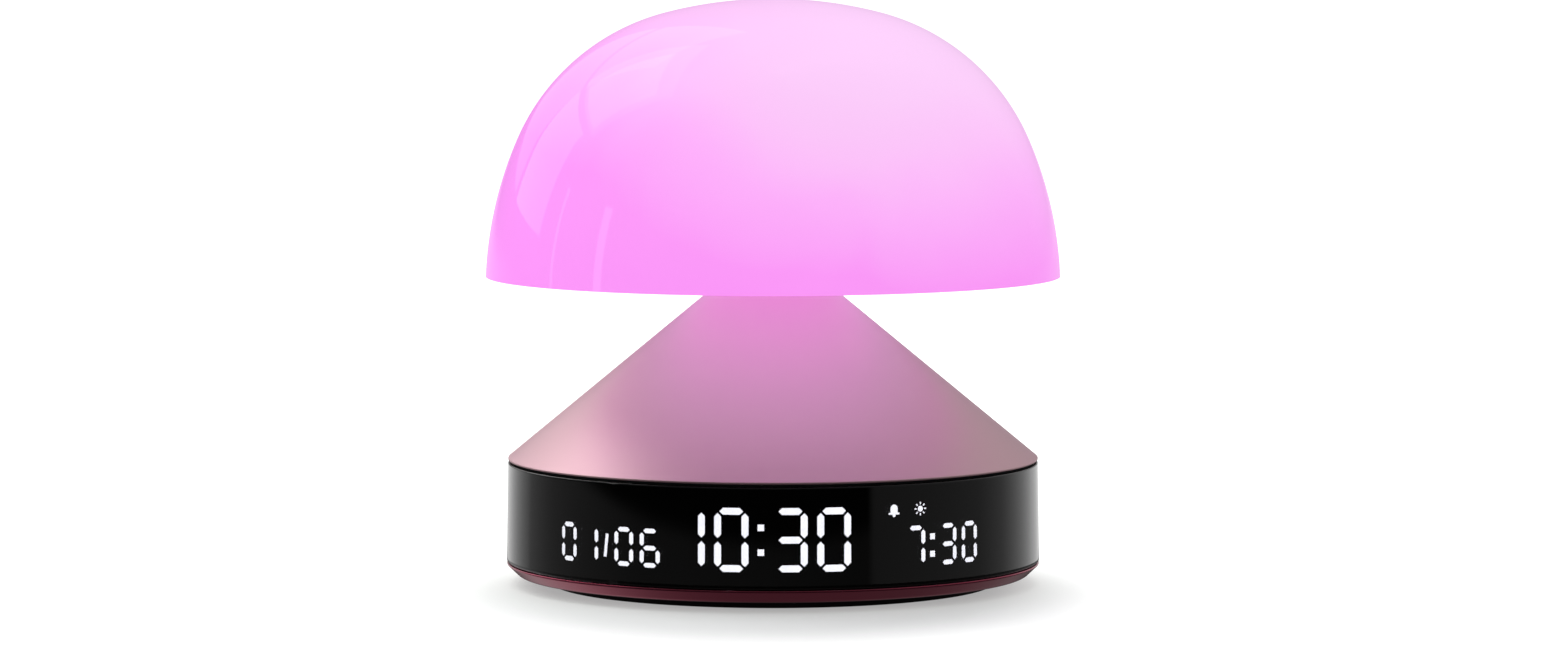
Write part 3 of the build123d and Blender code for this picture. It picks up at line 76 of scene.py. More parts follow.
def rounded(corners, steps=5, hold=0.0002):
    """Each corner (radius, height, rounding) of a closed outline gives way to an arc that
    touches its two sides, at the rounding divided by the tangent of half the corner's angle
    from the corner. Two more points on each side, a short way from its ends, keep it flat
    where it is shaded."""
    corners = np.array(corners, float)
    points, rounding = corners[:, :2], corners[:, 2]
    before = np.roll(points, 1, 0) - points
    after = np.roll(points, -1, 0) - points
    before /= np.linalg.norm(before, axis=1)[:, None]
    after /= np.linalg.norm(after, axis=1)[:, None]
    half = np.arccos(np.clip((before * after).sum(1), -1, 1)) / 2
    middle = (before + after) / np.linalg.norm(before + after, axis=1)[:, None]
    centre = points + middle * (rounding / np.sin(half))[:, None]
    first = points + before * (rounding / np.tan(half))[:, None] - centre
    last = points + after * (rounding / np.tan(half))[:, None] - centre
    share = np.linspace(0, 1, steps)[None, :, None]
    turn = (np.pi - 2 * half)[:, None, None]
    blend = np.sin((1 - share) * turn) * first[:, None] + np.sin(share * turn) * last[:, None]
    arcs = centre[:, None] + blend / np.sin(turn)
    sides = np.roll(arcs[:, 0], -1, 0) - arcs[:, -1]
    lengths = np.linalg.norm(sides, axis=1)[:, None]
    inset = sides / lengths * np.minimum(hold, lengths / 3)
    ends = np.stack([arcs[:, -1] + inset, arcs[:, -1] + sides - inset], 1)
    return np.concatenate([arcs, ends], 1).reshape(-1, 2)


def turned(name, outline, around, closed=True):
    """Surface of revolution: the point (r, z) of the outline at angle t lies at
    (r cos t, r sin t, z). A closed outline makes a ring, an open one ends on the axis."""
    count = len(outline)
    t = np.linspace(0, 2 * np.pi, around, endpoint=False)
    x = outline[:, 0, None] * np.cos(t)
    y = outline[:, 0, None] * np.sin(t)
    z = np.repeat(outline[:, 1, None], around, 1)
    rows = count if closed else count - 1
    i, j = np.meshgrid(np.arange(rows), np.arange(around), indexing="ij")
    k, m = (i + 1) % count, (j + 1) % around
    quads = np.stack([i * around + j, i * around + m, k * around + m, k * around + j], -1)
    return surface(name, np.stack([x, y, z], -1).reshape(-1, 3), quads.reshape(-1, 4))


def material(name, **sockets):
    """A Principled material with these socket values set on the shader itself."""
    made = bpy.data.materials.new(name)
    made.use_nodes = True
    shader = made.node_tree.nodes["Principled BSDF"]
    for socket, value in sockets.items():
        shader.inputs[socket.replace("_", " ")].default_value = value
    return made


def node(tree, kind, inputs=(), **settings):
    """A new shader node of this kind with these settings and these values at its inputs."""
    made = tree.nodes.new("ShaderNode" + kind)
    for name, value in settings.items():
        setattr(made, name, value)
    for name, value in dict(inputs).items():
        made.inputs[name].default_value = value
    return made


def noise_on(tree, scale, detail, stretch=(1, 1, 1)):
    """Noise on Object coordinates, with each axis stretched by its own factor."""
    place = node(tree, "TexCoord")
    mapping = node(tree, "Mapping", {"Scale": stretch})
    noise = node(tree, "TexNoise", {"Scale": scale, "Detail": detail})
    tree.links.new(place.outputs["Object"], mapping.inputs["Vector"])
    tree.links.new(mapping.outputs["Vector"], noise.inputs["Vector"])
    return noise.outputs["Fac"]


def mottle(made, scale, low, high, detail=4.0, socket="Base Color"):
    """Noise, ramped between two colours, drives a socket."""
    tree = made.node_tree
    ramp = node(tree, "ValToRGB")
    for element, position, colour in zip(ramp.color_ramp.elements, (0.3, 0.7), (low, high)):
        element.position = position
        element.color = (*colour, 1)
    tree.links.new(noise_on(tree, scale, detail), ramp.inputs["Fac"])
    tree.links.new(ramp.outputs["Color"], tree.nodes["Principled BSDF"].inputs[socket])


def grain(made, scale, strength, distance=0.0001, detail=6.0, stretch=(1, 1, 1)):
    """Fine noise as a bump in the surface."""
    tree = made.node_tree
    bump = node(tree, "Bump", {"Strength": strength, "Distance": distance})
    tree.links.new(noise_on(tree, scale, detail, stretch), bump.inputs["Height"])
    tree.links.new(bump.outputs["Normal"], tree.nodes["Principled BSDF"].inputs["Normal"])


def dress(piece, finish):
    """Gives a piece one material in place of whatever it has."""
    piece.data.materials.clear()
    piece.data.materials.append(finish)


foot_low, foot_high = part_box("foot_ring")
foot_width = 0.0125
foot_outer = foot_high.x
foot_inner = foot_outer - foot_width
foot_top_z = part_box("trim_ring")[0].z
foot_outline = rounded(
    [
        (foot_inner, foot_low.z, 0.0005),
        (foot_outer, foot_low.z, 0.0005),
        (foot_outer, foot_top_z, 0.0001),
        (foot_inner, foot_top_z, 0.0001),
    ]
)
foot = turned("foot", foot_outline, around=256)
rubber = material("foot_rubber", Roughness=0.75, Specular_IOR_Level=0.2)
mottle(rubber, 40.0, (0.007, 0.006, 0.006), (0.013, 0.012, 0.012))
grain(rubber, 2500.0, 0.3)
dress(foot, rubber)
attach(foot, "clock_body")
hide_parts("foot_ring")

# ------------------------------------------------------------------ trim ring
# The bevelled ring under the band is turned aluminium, anodised a deeper pink than the
# cone. It carries the band on its shoulder, round an upright spigot.
trim_low, trim_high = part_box("trim_ring")
trim_bevel = 0.0027
trim_land = 0.0004
trim_ledge = 0.0055
spigot_wall = 0.002
band_foot_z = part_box("display_band")[0].z
trim_radius = trim_high.x
spigot_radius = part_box("segment_mask")[1].x
spigot_inner = spigot_radius - spigot_wall
trim_outline = rounded(
    [
        (spigot_inner - trim_ledge, trim_low.z, 0.0001),
        (trim_radius - trim_bevel, trim_low.z, 0.0019),
        (trim_radius, band_foot_z - trim_land, 0.0003),
        (trim_radius, band_foot_z, 0.00012),
        (spigot_radius, band_foot_z, 0.00005),
        (spigot_radius, trim_high.z, 0.0002),
        (spigot_inner, trim_high.z, 0.0002),
        (spigot_inner, band_foot_z, 0.00005),
        (spigot_inner - trim_ledge, band_foot_z, 0.0001),
    ],
    steps=9,
)
trim = turned("trim", trim_outline, around=320)
burgundy = material(
    "deep_pink_anodised",
    Metallic=1.0,
    Roughness=0.25,
    Coat_Weight=0.35,
    Coat_Roughness=0.15,
)
mottle(burgundy, 9.0, (0.49, 0.070, 0.135), (0.52, 0.085, 0.150), detail=8.0)
grain(burgundy, 5200.0, 0.15, distance=0.00004)
dress(trim, burgundy)
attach(trim, "clock_body")
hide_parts("trim_ring")

# ------------------------------------------------------------------ base and chassis
# The base plate drops into the trim ring, and the chassis stands on it. Both are moulded
# in black ABS with a fine texture. The housings of the switches are black too.
moulded = material("moulded_black", Roughness=0.6)
mottle(moulded, 900.0, (0.020, 0.020, 0.021), (0.032, 0.032, 0.033))
grain(moulded, 3000.0, 0.35)
for name in ("base_plate", "chassis", "rear_switches", "head_switch", "head_plunger"):
    dress(nodes[name], moulded)

# ------------------------------------------------------------------ speaker
# The speaker has a basket of painted steel, a membrane of pressed paper and a ferrite
# magnet. It sits over the holes of the base plate on a dark foam gasket.
basket = material("basket_paint", Roughness=0.45)
mottle(basket, 300.0, (0.020, 0.020, 0.020), (0.032, 0.032, 0.032))
dress(nodes["speaker_frame"], basket)
paper = material("membrane_paper", Roughness=0.9)
mottle(paper, 600.0, (0.030, 0.030, 0.030), (0.060, 0.060, 0.058), detail=8.0)
grain(paper, 900.0, 0.5)
dress(nodes["speaker_membrane"], paper)
ferrite = material("ferrite", Roughness=0.55)
mottle(ferrite, 350.0, (0.060, 0.060, 0.065), (0.090, 0.090, 0.095))
dress(nodes["speaker_magnet"], ferrite)
dress(nodes["speaker_gasket"], rubber)

# ------------------------------------------------------------------ battery
# The cell is a soft pouch of aluminium laminate, slightly wrinkled. A strap of spring
# steel with two screws holds it down.
pouch = material("battery_pouch", Metallic=1.0, Roughness=0.28)
mottle(pouch, 60.0, (0.60, 0.61, 0.63), (0.70, 0.71, 0.73))
grain(pouch, 120.0, 0.2, distance=0.0004)
dress(nodes["battery_cell"], pouch)

# ------------------------------------------------------------------ boards
# The boards are glass-fibre laminate under green solder mask, with black packages on the
# main one. The display's board is a brown film, bent round behind the light cells.
laminate = material("green_laminate", Roughness=0.35)
mottle(laminate, 250.0, (0.010, 0.085, 0.040), (0.016, 0.120, 0.060), detail=8.0)
for name in ("main_board", "rear_board", "inlet_board", "switch_board"):
    dress(nodes[name], laminate)
film = material("brown_film", Roughness=0.3)
mottle(film, 250.0, (0.030, 0.018, 0.008), (0.050, 0.030, 0.012))
dress(nodes["display_board"], film)
package = material("component_black", Roughness=0.5)
mottle(package, 500.0, (0.018, 0.018, 0.019), (0.030, 0.030, 0.031))
dress(nodes["board_parts"], package)

# ------------------------------------------------------------------ steel pieces
# Screws, strap, stem, nut, clip and return spring are bright steel, plated, pressed or
# turned. A fine grain lies across their height.
steel = material("bright_steel", Metallic=1.0, Roughness=0.32)
mottle(steel, 400.0, (0.50, 0.50, 0.51), (0.62, 0.62, 0.63))
grain(steel, 1500.0, 0.1, stretch=(1, 1, 8))
for name in (
    "base_screws board_screws strap_screws speaker_screws rear_board_screws inlet_screws "
    "cone_screws hub_screws carrier_screws neck_stem stem_nut retaining_clip return_spring "
    "battery_strap"
).split():
    dress(nodes[name], steel)

# ------------------------------------------------------------------ mask and figures
# The mask lines the band and is matt black, so that only the light cells show. Each bar is
# a little window of milky acrylic with a light behind it. The unlit bars are smoked.
mask_black = material("matt_mask", Roughness=0.8, Specular_IOR_Level=0.1)
mottle(mask_black, 300.0, (0.001, 0.001, 0.0012), (0.003, 0.003, 0.0035))
dress(nodes["segment_mask"], mask_black)
lit = material(
    "lit_bar",
    Roughness=0.4,
    Base_Color=(0.9, 0.9, 0.9, 1),
    Emission_Strength=30.0,
)
mottle(lit, 500.0, (0.93, 0.94, 1.0), (1.0, 1.0, 1.0), socket="Emission Color")
for name in ("time_bars", "date_bars", "alarm_bars", "icon_bars"):
    dress(nodes[name], lit)
unlit = material("unlit_bar", Roughness=0.5, Specular_IOR_Level=0.2)
mottle(unlit, 500.0, (0.004, 0.004, 0.005), (0.007, 0.007, 0.008))
dress(nodes["unlit_bars"], unlit)

# ------------------------------------------------------------------ display band
# The band is a turned and polished tube of smoked polycarbonate. Round holes at its back
# let the setting buttons through, and a slot lets the plug in.
band_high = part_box("display_band")[1]
band_wall = 0.002
band_draft = 0.0004
band_radius = band_high.x
band_inner = band_radius - band_wall
band_outline = rounded(
    [
        (band_inner, band_foot_z, 0.0001),
        (band_radius, band_foot_z, 0.0009),
        (band_radius - band_draft, band_high.z, 0.0003),
        (band_inner, band_high.z, 0.0001),
    ],
    steps=8,
)
band = turned("band", band_outline, around=360)
button_names = ("time_button", "alarm_button", "light_button", "minus_button", "plus_button")
button_boxes = [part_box(name) for name in button_names]
button_z = (button_boxes[0][0].z + button_boxes[0][1].z) / 2
button_hole_radius = 0.00326
inlet_low, inlet_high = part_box("inlet_shell")
inlet_z = (inlet_low.z + inlet_high.z) / 2
inlet_gap = 0.0003
slot_half_width = (inlet_high.x - inlet_low.x) / 2 + inlet_gap
slot_half_height = (inlet_high.z - inlet_low.z) / 2 + inlet_gap
cutter_near, cutter_far = 0.04, 0.07


def rod_backwards(name, x, z, half_width, half_height, steps=48):
    """A prism along Y whose section is a circle stretched to a slot: the circle's points,
    shifted outwards by the slot's straight half length on each side."""
    t = np.linspace(0, 2 * np.pi, steps, endpoint=False) + np.pi / steps
    u = x + half_height * np.cos(t) + (half_width - half_height) * np.sign(np.cos(t))
    v = z + half_height * np.sin(t)
    near = np.stack([u, np.full(steps, cutter_near), v], 1)
    far = np.stack([u, np.full(steps, cutter_far), v], 1)
    i = np.arange(steps)
    sides = np.stack([i, (i + 1) % steps, (i + 1) % steps + steps, i + steps], 1)
    rod = surface(name, np.concatenate([near, far]), sides)
    shape = bmesh.new()
    shape.from_mesh(rod.data)
    bmesh.ops.holes_fill(shape, edges=shape.edges)
    bmesh.ops.recalc_face_normals(shape, faces=shape.faces)
    shape.to_mesh(rod.data)
    shape.free()
    return rod


cutters = [
    rod_backwards(
        "hole", (low.x + high.x) / 2, button_z, button_hole_radius, button_hole_radius
    )
    for low, high in button_boxes
]
cutters.append(rod_backwards("slot", 0.0, inlet_z, slot_half_width, slot_half_height))
for cutter in cutters:
    cut = band.modifiers.new("hole", "BOOLEAN")
    cut.operation = "DIFFERENCE"
    cut.solver = "EXACT"
    cut.object = cutter
drilled = bpy.data.meshes.new_from_object(
    band.evaluated_get(bpy.context.evaluated_depsgraph_get())
)
band.modifiers.clear()
band.data = drilled
drilled.shade_smooth()
drilled.set_sharp_from_angle(angle=crease)
for cutter in cutters:
    bpy.data.objects.remove(cutter)

smoked = material("smoked_lens", Roughness=0.02, IOR=1.52, Transmission_Weight=1.0)
mottle(smoked, 6.0, (0.030, 0.030, 0.032), (0.036, 0.036, 0.038), detail=1.0)
dress(band, smoked)
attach(band, "clock_body")
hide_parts("display_band")

# ------------------------------------------------------------------ buttons and inlet
# The setting buttons are moulded black caps with a fine spark-eroded skin. The inlet is a
# drawn and plated steel shell round a black tongue.
button_black = material("button_plastic", Roughness=0.42)
mottle(button_black, 700.0, (0.016, 0.016, 0.018), (0.026, 0.026, 0.028))
grain(button_black, 4000.0, 0.25)
for name in (*button_names, "inlet_tongue"):
    dress(nodes[name], button_black)
plated = material("plated_steel", Metallic=1.0, Roughness=0.25)
mottle(plated, 90.0, (0.60, 0.60, 0.61), (0.70, 0.70, 0.71))
dress(nodes["inlet_shell"], plated)

# ------------------------------------------------------------------ seal
# A ring of black silicone lies between the band and the cone. It stands back from the
# drum and leaves a dark line there.
silicone = material("black_silicone", Roughness=0.75, Specular_IOR_Level=0.2)
mottle(silicone, 200.0, (0.004, 0.004, 0.004), (0.008, 0.008, 0.008))
dress(nodes["seal_ring"], silicone)

# ------------------------------------------------------------------ cone
# The cone is turned from aluminium, bead-blasted and anodised a satin pink. Its foot has
# a narrow upright edge and its tip is cut flat where the stem comes through.
cone_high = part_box("cone_shell")[1]
cone_land = 0.0004
cone_tip_radius = 0.009
cone_tip_wall = 0.002
cone_bore = 0.0051
cone_wall = 0.0016
cone_radius = cone_high.x
cone_foot_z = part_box("seal_ring")[1].z
cone_slope_z = cone_foot_z + cone_land
cone_tip_z = cone_high.z
cone_ceiling_z = cone_tip_z - cone_tip_wall
cone_slope = (cone_radius - cone_tip_radius) / (cone_tip_z - cone_slope_z)
level_wall = cone_wall * np.hypot(1, cone_slope)
cone_ceiling_radius = cone_tip_radius + cone_tip_wall * cone_slope - level_wall
cone_outline = rounded(
    [
        (cone_radius - level_wall, cone_foot_z, 0.0002),
        (cone_radius, cone_foot_z, 0.00012),
        (cone_radius, cone_slope_z, 0.00025),
        (cone_tip_radius, cone_tip_z, 0.0005),
        (cone_bore, cone_tip_z, 0.0002),
        (cone_bore, cone_ceiling_z, 0.0002),
        (cone_ceiling_radius, cone_ceiling_z, 0.0003),
    ]
)
cone = turned("cone", cone_outline, around=320)
anodised = material("satin_pink_anodised", Metallic=1.0, Roughness=0.48)
mottle(anodised, 9.0, (0.685, 0.45, 0.49), (0.715, 0.475, 0.515), detail=8.0)
grain(anodised, 5200.0, 0.20, distance=0.00004)
dress(cone, anodised)
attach(cone, "clock_body")
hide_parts("cone_shell")

# ------------------------------------------------------------------ lamp inside the head
# Hub and carrier are white ABS mouldings. The lamp's board is white-coated aluminium with
# yellowish packages on it, and its lead and the head's cable have black jackets.
white_abs = material("white_abs", Roughness=0.45)
mottle(white_abs, 200.0, (0.80, 0.80, 0.79), (0.86, 0.86, 0.85))
for name in ("head_hub", "led_carrier"):
    dress(nodes[name], white_abs)
coated = material("white_solder_mask", Roughness=0.4)
mottle(coated, 200.0, (0.84, 0.84, 0.83), (0.90, 0.90, 0.89))
dress(nodes["led_board"], coated)
resin = material("led_resin", Roughness=0.25, Emission_Strength=2.0)
mottle(resin, 400.0, (0.85, 0.75, 0.40), (0.92, 0.84, 0.52))
mottle(resin, 400.0, (1.0, 0.30, 0.85), (1.0, 0.40, 0.90), socket="Emission Color")
dress(nodes["led_packages"], resin)
jacket = material("cable_jacket", Roughness=0.5)
mottle(jacket, 300.0, (0.020, 0.020, 0.020), (0.034, 0.034, 0.034))
for name in ("led_lead", "head_cable"):
    dress(nodes[name], jacket)

# The spring and the lamp's lead each get a mesh of their own.
for name in ("return_spring", "led_lead"):
    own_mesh(nodes[name])

# ------------------------------------------------------------------ underside
# The underside is a disc of frosted polycarbonate that snaps against the step inside the
# dome's rim. It glows magenta round the hub and lights the tip of the cone. The dim grey
# glow towards its rim is painted light: it stands in for the room's light that the disc
# would send back down onto the cone.


def glow_and_painted_light_from(made, centre, squeeze, reach, stops, strength=1.0, wander=0.012):
    """Emission by place, for a lamp's own glow and for light painted into it: the distance
    from a centre in Object coordinates, with each axis squeezed by its own factor and a slow
    noise added, runs through the stops of a ramp. The ramp spans the distances from 0 to
    reach, and each stop is (distance, colour)."""
    tree = made.node_tree
    place = node(tree, "TexCoord")
    offset = node(tree, "VectorMath", {1: centre}, operation="SUBTRACT")
    scaled = node(tree, "VectorMath", {1: squeeze}, operation="MULTIPLY")
    distance = node(tree, "VectorMath", operation="LENGTH")
    noise = node(tree, "TexNoise", {"Scale": 22.0, "Detail": 2.0, "Distortion": 1.2})
    moved = node(tree, "Math", {1: wander}, operation="MULTIPLY_ADD")
    share = node(tree, "MapRange", {"From Min": wander / 2, "From Max": reach + wander / 2})
    ramp = node(tree, "ValToRGB")
    while len(ramp.color_ramp.elements) < len(stops):
        ramp.color_ramp.elements.new(0.5)
    for element, (far, colour) in zip(ramp.color_ramp.elements, stops):
        element.position = far / reach
        element.color = (*colour, 1)
    tree.links.new(place.outputs["Object"], offset.inputs[0])
    tree.links.new(offset.outputs["Vector"], scaled.inputs[0])
    tree.links.new(scaled.outputs["Vector"], distance.inputs[0])
    tree.links.new(place.outputs["Object"], noise.inputs["Vector"])
    tree.links.new(noise.outputs["Fac"], moved.inputs[0])
    tree.links.new(distance.outputs["Value"], moved.inputs[2])
    tree.links.new(moved.outputs["Value"], share.inputs["Value"])
    tree.links.new(share.outputs["Result"], ramp.inputs["Fac"])
    shader = tree.nodes["Principled BSDF"]
    tree.links.new(ramp.outputs["Color"], shader.inputs["Emission Color"])
    shader.inputs["Emission Strength"].default_value = strength


frosted = material("frosted_underside", Roughness=0.5)
mottle(frosted, 60.0, (0.80, 0.76, 0.80), (0.84, 0.80, 0.84))
# Painted light: the outer stops, dim and grey, stand for light reflected by the disc, not for
# lamp glow.
glow_and_painted_light_from(
    frosted,
    centre=(0.0, 0.0, 0.0),
    squeeze=(1.0, 1.0, 0.0),
    reach=0.064,
    stops=[
        (0.012, (0.70, 0.28, 0.92)),
        (0.030, (0.57, 0.32, 0.74)),
        (0.044, (0.34, 0.24, 0.48)),
        (0.060, (0.20, 0.17, 0.25)),
    ],
    strength=1.2,
)
dress(nodes["underside_diffuser"], frosted)

# ------------------------------------------------------------------ dome
# The shade is one blow-moulded shell of opal polycarbonate, polished outside. It is lit
# magenta from inside, so the whole of it glows, and it carries the room's soft lights as
# gloss. Its outline is three arcs that run into each other: side, shoulder and crown.
shade_low, shade_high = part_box("shade_dome")
rim_z, top_z = shade_low.z, shade_high.z
shade_radius = min(shade_high.x, shade_high.y, -shade_low.x, -shade_low.y)
shade_wall = 0.002
rim_wall = 0.0016
rim_draft = np.radians(2.5)
crown, shoulder, side = 0.0980, 0.0508, 0.0880
underside_thickness = 0.0018
step_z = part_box("underside_diffuser")[0].z + underside_thickness
crown_centre = np.array([0.0, top_z - crown])
side_centre = np.array(
    [shade_radius - side * np.cos(rim_draft), rim_z - side * np.sin(rim_draft)]
)
span = side_centre - crown_centre
reach = np.hypot(*span)
along = (reach**2 + (crown - shoulder) ** 2 - (side - shoulder) ** 2) / (2 * reach)
off = np.sqrt((crown - shoulder) ** 2 - along**2)
shoulder_centre = crown_centre + (along * span + off * np.abs(span[::-1])) / reach
crown_end = np.degrees(np.arctan2(*(shoulder_centre - crown_centre)[::-1]))
side_end = np.degrees(np.arctan2(*(shoulder_centre - side_centre)[::-1]))


def arc(centre, radius, start, end, steps):
    """Points (radius, height) on a circle: centre + radius * (cos a, sin a), a in degrees."""
    angle = np.radians(np.linspace(start, end, steps))
    return np.stack([centre[0] + radius * np.cos(angle), centre[1] + radius * np.sin(angle)], 1)


def side_angle(height, wall):
    """Angle in degrees, seen from the side's centre, of the point at a height of the surface
    that lies a wall further in: the arcsine of its height above the centre by its radius."""
    return np.degrees(np.arcsin((height - side_centre[1]) / (side - wall)))


inner_step = side_angle(step_z, shade_wall)
rim_step, rim_end = side_angle(step_z, rim_wall), side_angle(rim_z, rim_wall)
shade_outline = np.concatenate(
    [
        arc(crown_centre, crown - shade_wall, 90, crown_end, 24),
        arc(shoulder_centre, shoulder - shade_wall, crown_end, side_end, 48)[1:],
        arc(side_centre, side - shade_wall, side_end, inner_step, 20)[1:],
        arc(side_centre, side - rim_wall, rim_step, rim_end, 4),
        arc(side_centre, side, side_angle(rim_z, 0), side_end, 24),
        arc(shoulder_centre, shoulder, side_end, crown_end, 48)[1:],
        arc(crown_centre, crown, crown_end, 90, 24)[1:],
    ]
)
shade_outline[[0, -1], 0] = 0.0
shade = turned("shade", shade_outline, around=256, closed=False)

opal = material(
    "opal_shade",
    Roughness=0.5,
    Specular_IOR_Level=0.0,
    Coat_Weight=0.38,
    Coat_Roughness=0.04,
    Coat_IOR=1.6,
)
mottle(opal, 22.0, (0.33, 0.11, 0.31), (0.36, 0.13, 0.34))
# Painted highlight: the glow grows paler and whiter towards a point above and right of the
# crown. Part of that is the lamp's brighter top, part is a softbox's highlight painted into the
# glow.
glow_and_painted_light_from(
    opal,
    centre=(0.030, 0.0, 0.140),
    squeeze=(0.7, 0.0, 1.0),
    reach=0.080,
    stops=[
        (0.014, (0.76, 0.570, 0.77)),
        (0.028, (0.77, 0.540, 0.77)),
        (0.040, (0.78, 0.475, 0.77)),
        (0.052, (0.78, 0.370, 0.77)),
        (0.068, (0.76, 0.245, 0.74)),
        (0.080, (0.75, 0.230, 0.74)),
    ],
)
dress(shade, opal)
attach(shade, "lamp_head")
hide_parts("shade_dome")

# ------------------------------------------------------------------ floor
# A plain pale floor takes the clock's soft shadow. As the camera sees it, a glow lifts it
# to the white of the world, weakest in an off-centre oval round the clock: a painted shadow
# round the base, on top of the real one. Its shaded part is tinted a little green, which
# paints out the dome's pink light on it. Gloss sees the world through it.
floor_half = 6.0
floor_z = -0.00005
floor_mesh = bpy.data.meshes.new("floor")
floor_mesh.from_pydata(
    [
        (-floor_half, -floor_half, floor_z),
        (floor_half, -floor_half, floor_z),
        (floor_half, floor_half, floor_z),
        (-floor_half, floor_half, floor_z),
    ],
    [],
    [(0, 1, 2, 3)],
)
floor = bpy.data.objects.new("floor", floor_mesh)
bpy.context.scene.collection.objects.link(floor)
pale = material("pale_floor", Roughness=0.9, Specular_IOR_Level=0.0)
mottle(pale, 3.0, (0.84, 0.84, 0.84), (0.86, 0.86, 0.86))
tree = pale.node_tree
# Painted shadow: the lift grows with the squeezed, shifted distance from the clock, so the
# floor is darker near its base.
place = node(tree, "TexCoord")
squeezed = node(
    tree,
    "VectorMath",
    {1: (1.35, 1.0, 1.0), 2: (0.004, 0.024, 0.0)},
    operation="MULTIPLY_ADD",
)
distance = node(tree, "VectorMath", operation="LENGTH")
painted_shadow_fade = node(
    tree,
    "MapRange",
    {"From Min": 0.062, "From Max": 0.125, "To Min": 0.375, "To Max": 0.86},
    interpolation_type="SMOOTHSTEP",
)
shaded = node(tree, "BsdfDiffuse", {"Color": (0.54, 0.57, 0.54, 1)})
glow = node(tree, "Emission")
lifted = node(tree, "AddShader")
rays = node(tree, "LightPath")
to_camera = node(tree, "MixShader")
clear = node(tree, "BsdfTransparent")
to_gloss = node(tree, "MixShader")
tree.links.new(place.outputs["Object"], squeezed.inputs[0])
tree.links.new(squeezed.outputs["Vector"], distance.inputs[0])
tree.links.new(distance.outputs["Value"], painted_shadow_fade.inputs["Value"])
tree.links.new(painted_shadow_fade.outputs["Result"], glow.inputs["Strength"])
tree.links.new(shaded.outputs["BSDF"], lifted.inputs[0])
tree.links.new(glow.outputs["Emission"], lifted.inputs[1])
tree.links.new(rays.outputs["Is Camera Ray"], to_camera.inputs["Fac"])
tree.links.new(tree.nodes["Principled BSDF"].outputs["BSDF"], to_camera.inputs[1])
tree.links.new(lifted.outputs["Shader"], to_camera.inputs[2])
tree.links.new(rays.outputs["Is Glossy Ray"], to_gloss.inputs["Fac"])
tree.links.new(to_camera.outputs["Shader"], to_gloss.inputs[1])
tree.links.new(clear.outputs["BSDF"], to_gloss.inputs[2])
tree.links.new(to_gloss.outputs["Shader"], tree.nodes["Material Output"].inputs["Surface"])
dress(floor, pale)

# ------------------------------------------------------------------ world
# The camera sees plain white. Gloss and smoked plastic see a studio of grey walls by their
# azimuth from the front: dark cloths in front of the clock, white walls behind it, a dim
# floor below them, and greys that lie closer together above the horizon.
world = bpy.data.worlds.new("studio")
bpy.context.scene.world = world
world.use_nodes = True
tree = world.node_tree
direction = node(tree, "TexCoord")
split = node(tree, "SeparateXYZ")
forward = node(tree, "Math", {1: -1.0}, operation="MULTIPLY")
azimuth = node(tree, "Math", operation="ARCTAN2")
turn_share = node(tree, "MapRange", {"From Min": -np.pi, "From Max": np.pi})
tree.links.new(direction.outputs["Generated"], split.inputs["Vector"])
tree.links.new(split.outputs["Y"], forward.inputs[0])
tree.links.new(split.outputs["X"], azimuth.inputs[0])
tree.links.new(forward.outputs["Value"], azimuth.inputs[1])
tree.links.new(azimuth.outputs["Value"], turn_share.inputs["Value"])


def wall(stops):
    """A ramp of greys whose stops are (azimuth in degrees, level)."""
    made = node(tree, "ValToRGB")
    while len(made.color_ramp.elements) < len(stops):
        made.color_ramp.elements.new(0.5)
    for element, (degrees, level) in zip(made.color_ramp.elements, stops):
        element.position = (degrees + 180) / 360
        element.color = (level, level, level, 1)
    tree.links.new(turn_share.outputs["Result"], made.inputs["Fac"])
    return made.outputs["Color"]


def stacked(lower, upper, step_low, step_high):
    """One colour below and another above, with a smooth step between two heights of the
    unit direction."""
    step = node(
        tree,
        "MapRange",
        {"From Min": step_low, "From Max": step_high},
        interpolation_type="SMOOTHSTEP",
    )
    made = node(tree, "Mix", data_type="RGBA")
    tree.links.new(split.outputs["Z"], step.inputs["Value"])
    tree.links.new(step.outputs["Result"], made.inputs["Factor"])
    tree.links.new(lower, made.inputs["A"])
    tree.links.new(upper, made.inputs["B"])
    return made.outputs["Result"]


back_left = [(-180, 1.0), (-157, 0.92), (-132, 0.42), (-129, 0.30)]
low_front = [(-110, 0.20), (-60, 0.10), (41, 0.06)]
dark_front = [(-116, 0.08), (-80, 0.01), (41, 0.01)]
back_right = [(44, 0.15), (100, 0.22), (117, 0.34), (150, 0.94), (180, 1.0)]
floor_left = [(-180, 0.03), (-171, 0.08), (-161, 0.42), (-150, 0.42), (-135, 0.34)]
floor_front = [(-115, 0.09), (-60, 0.01), (60, 0.01), (115, 0.04)]
floor_right = [(137, 0.09), (152, 0.14), (163, 0.18), (172, 0.06), (180, 0.03)]
high_left = [(-180, 0.26), (-160, 0.20), (-110, 0.26), (-40, 0.12)]
high_right = [(40, 0.15), (100, 0.40), (140, 0.72), (165, 0.45), (180, 0.30)]
gloss = wall([(-180, 0.08), (180, 0.08)])
gloss = stacked(gloss, wall(floor_left + floor_front + floor_right), -1.0, -0.62)
gloss = stacked(gloss, wall(back_left + low_front + back_right), -0.115, -0.108)
gloss = stacked(gloss, wall(back_left + dark_front + back_right), -0.0785, -0.0745)
gloss = stacked(gloss, wall(high_left + high_right), -0.03, 0.03)

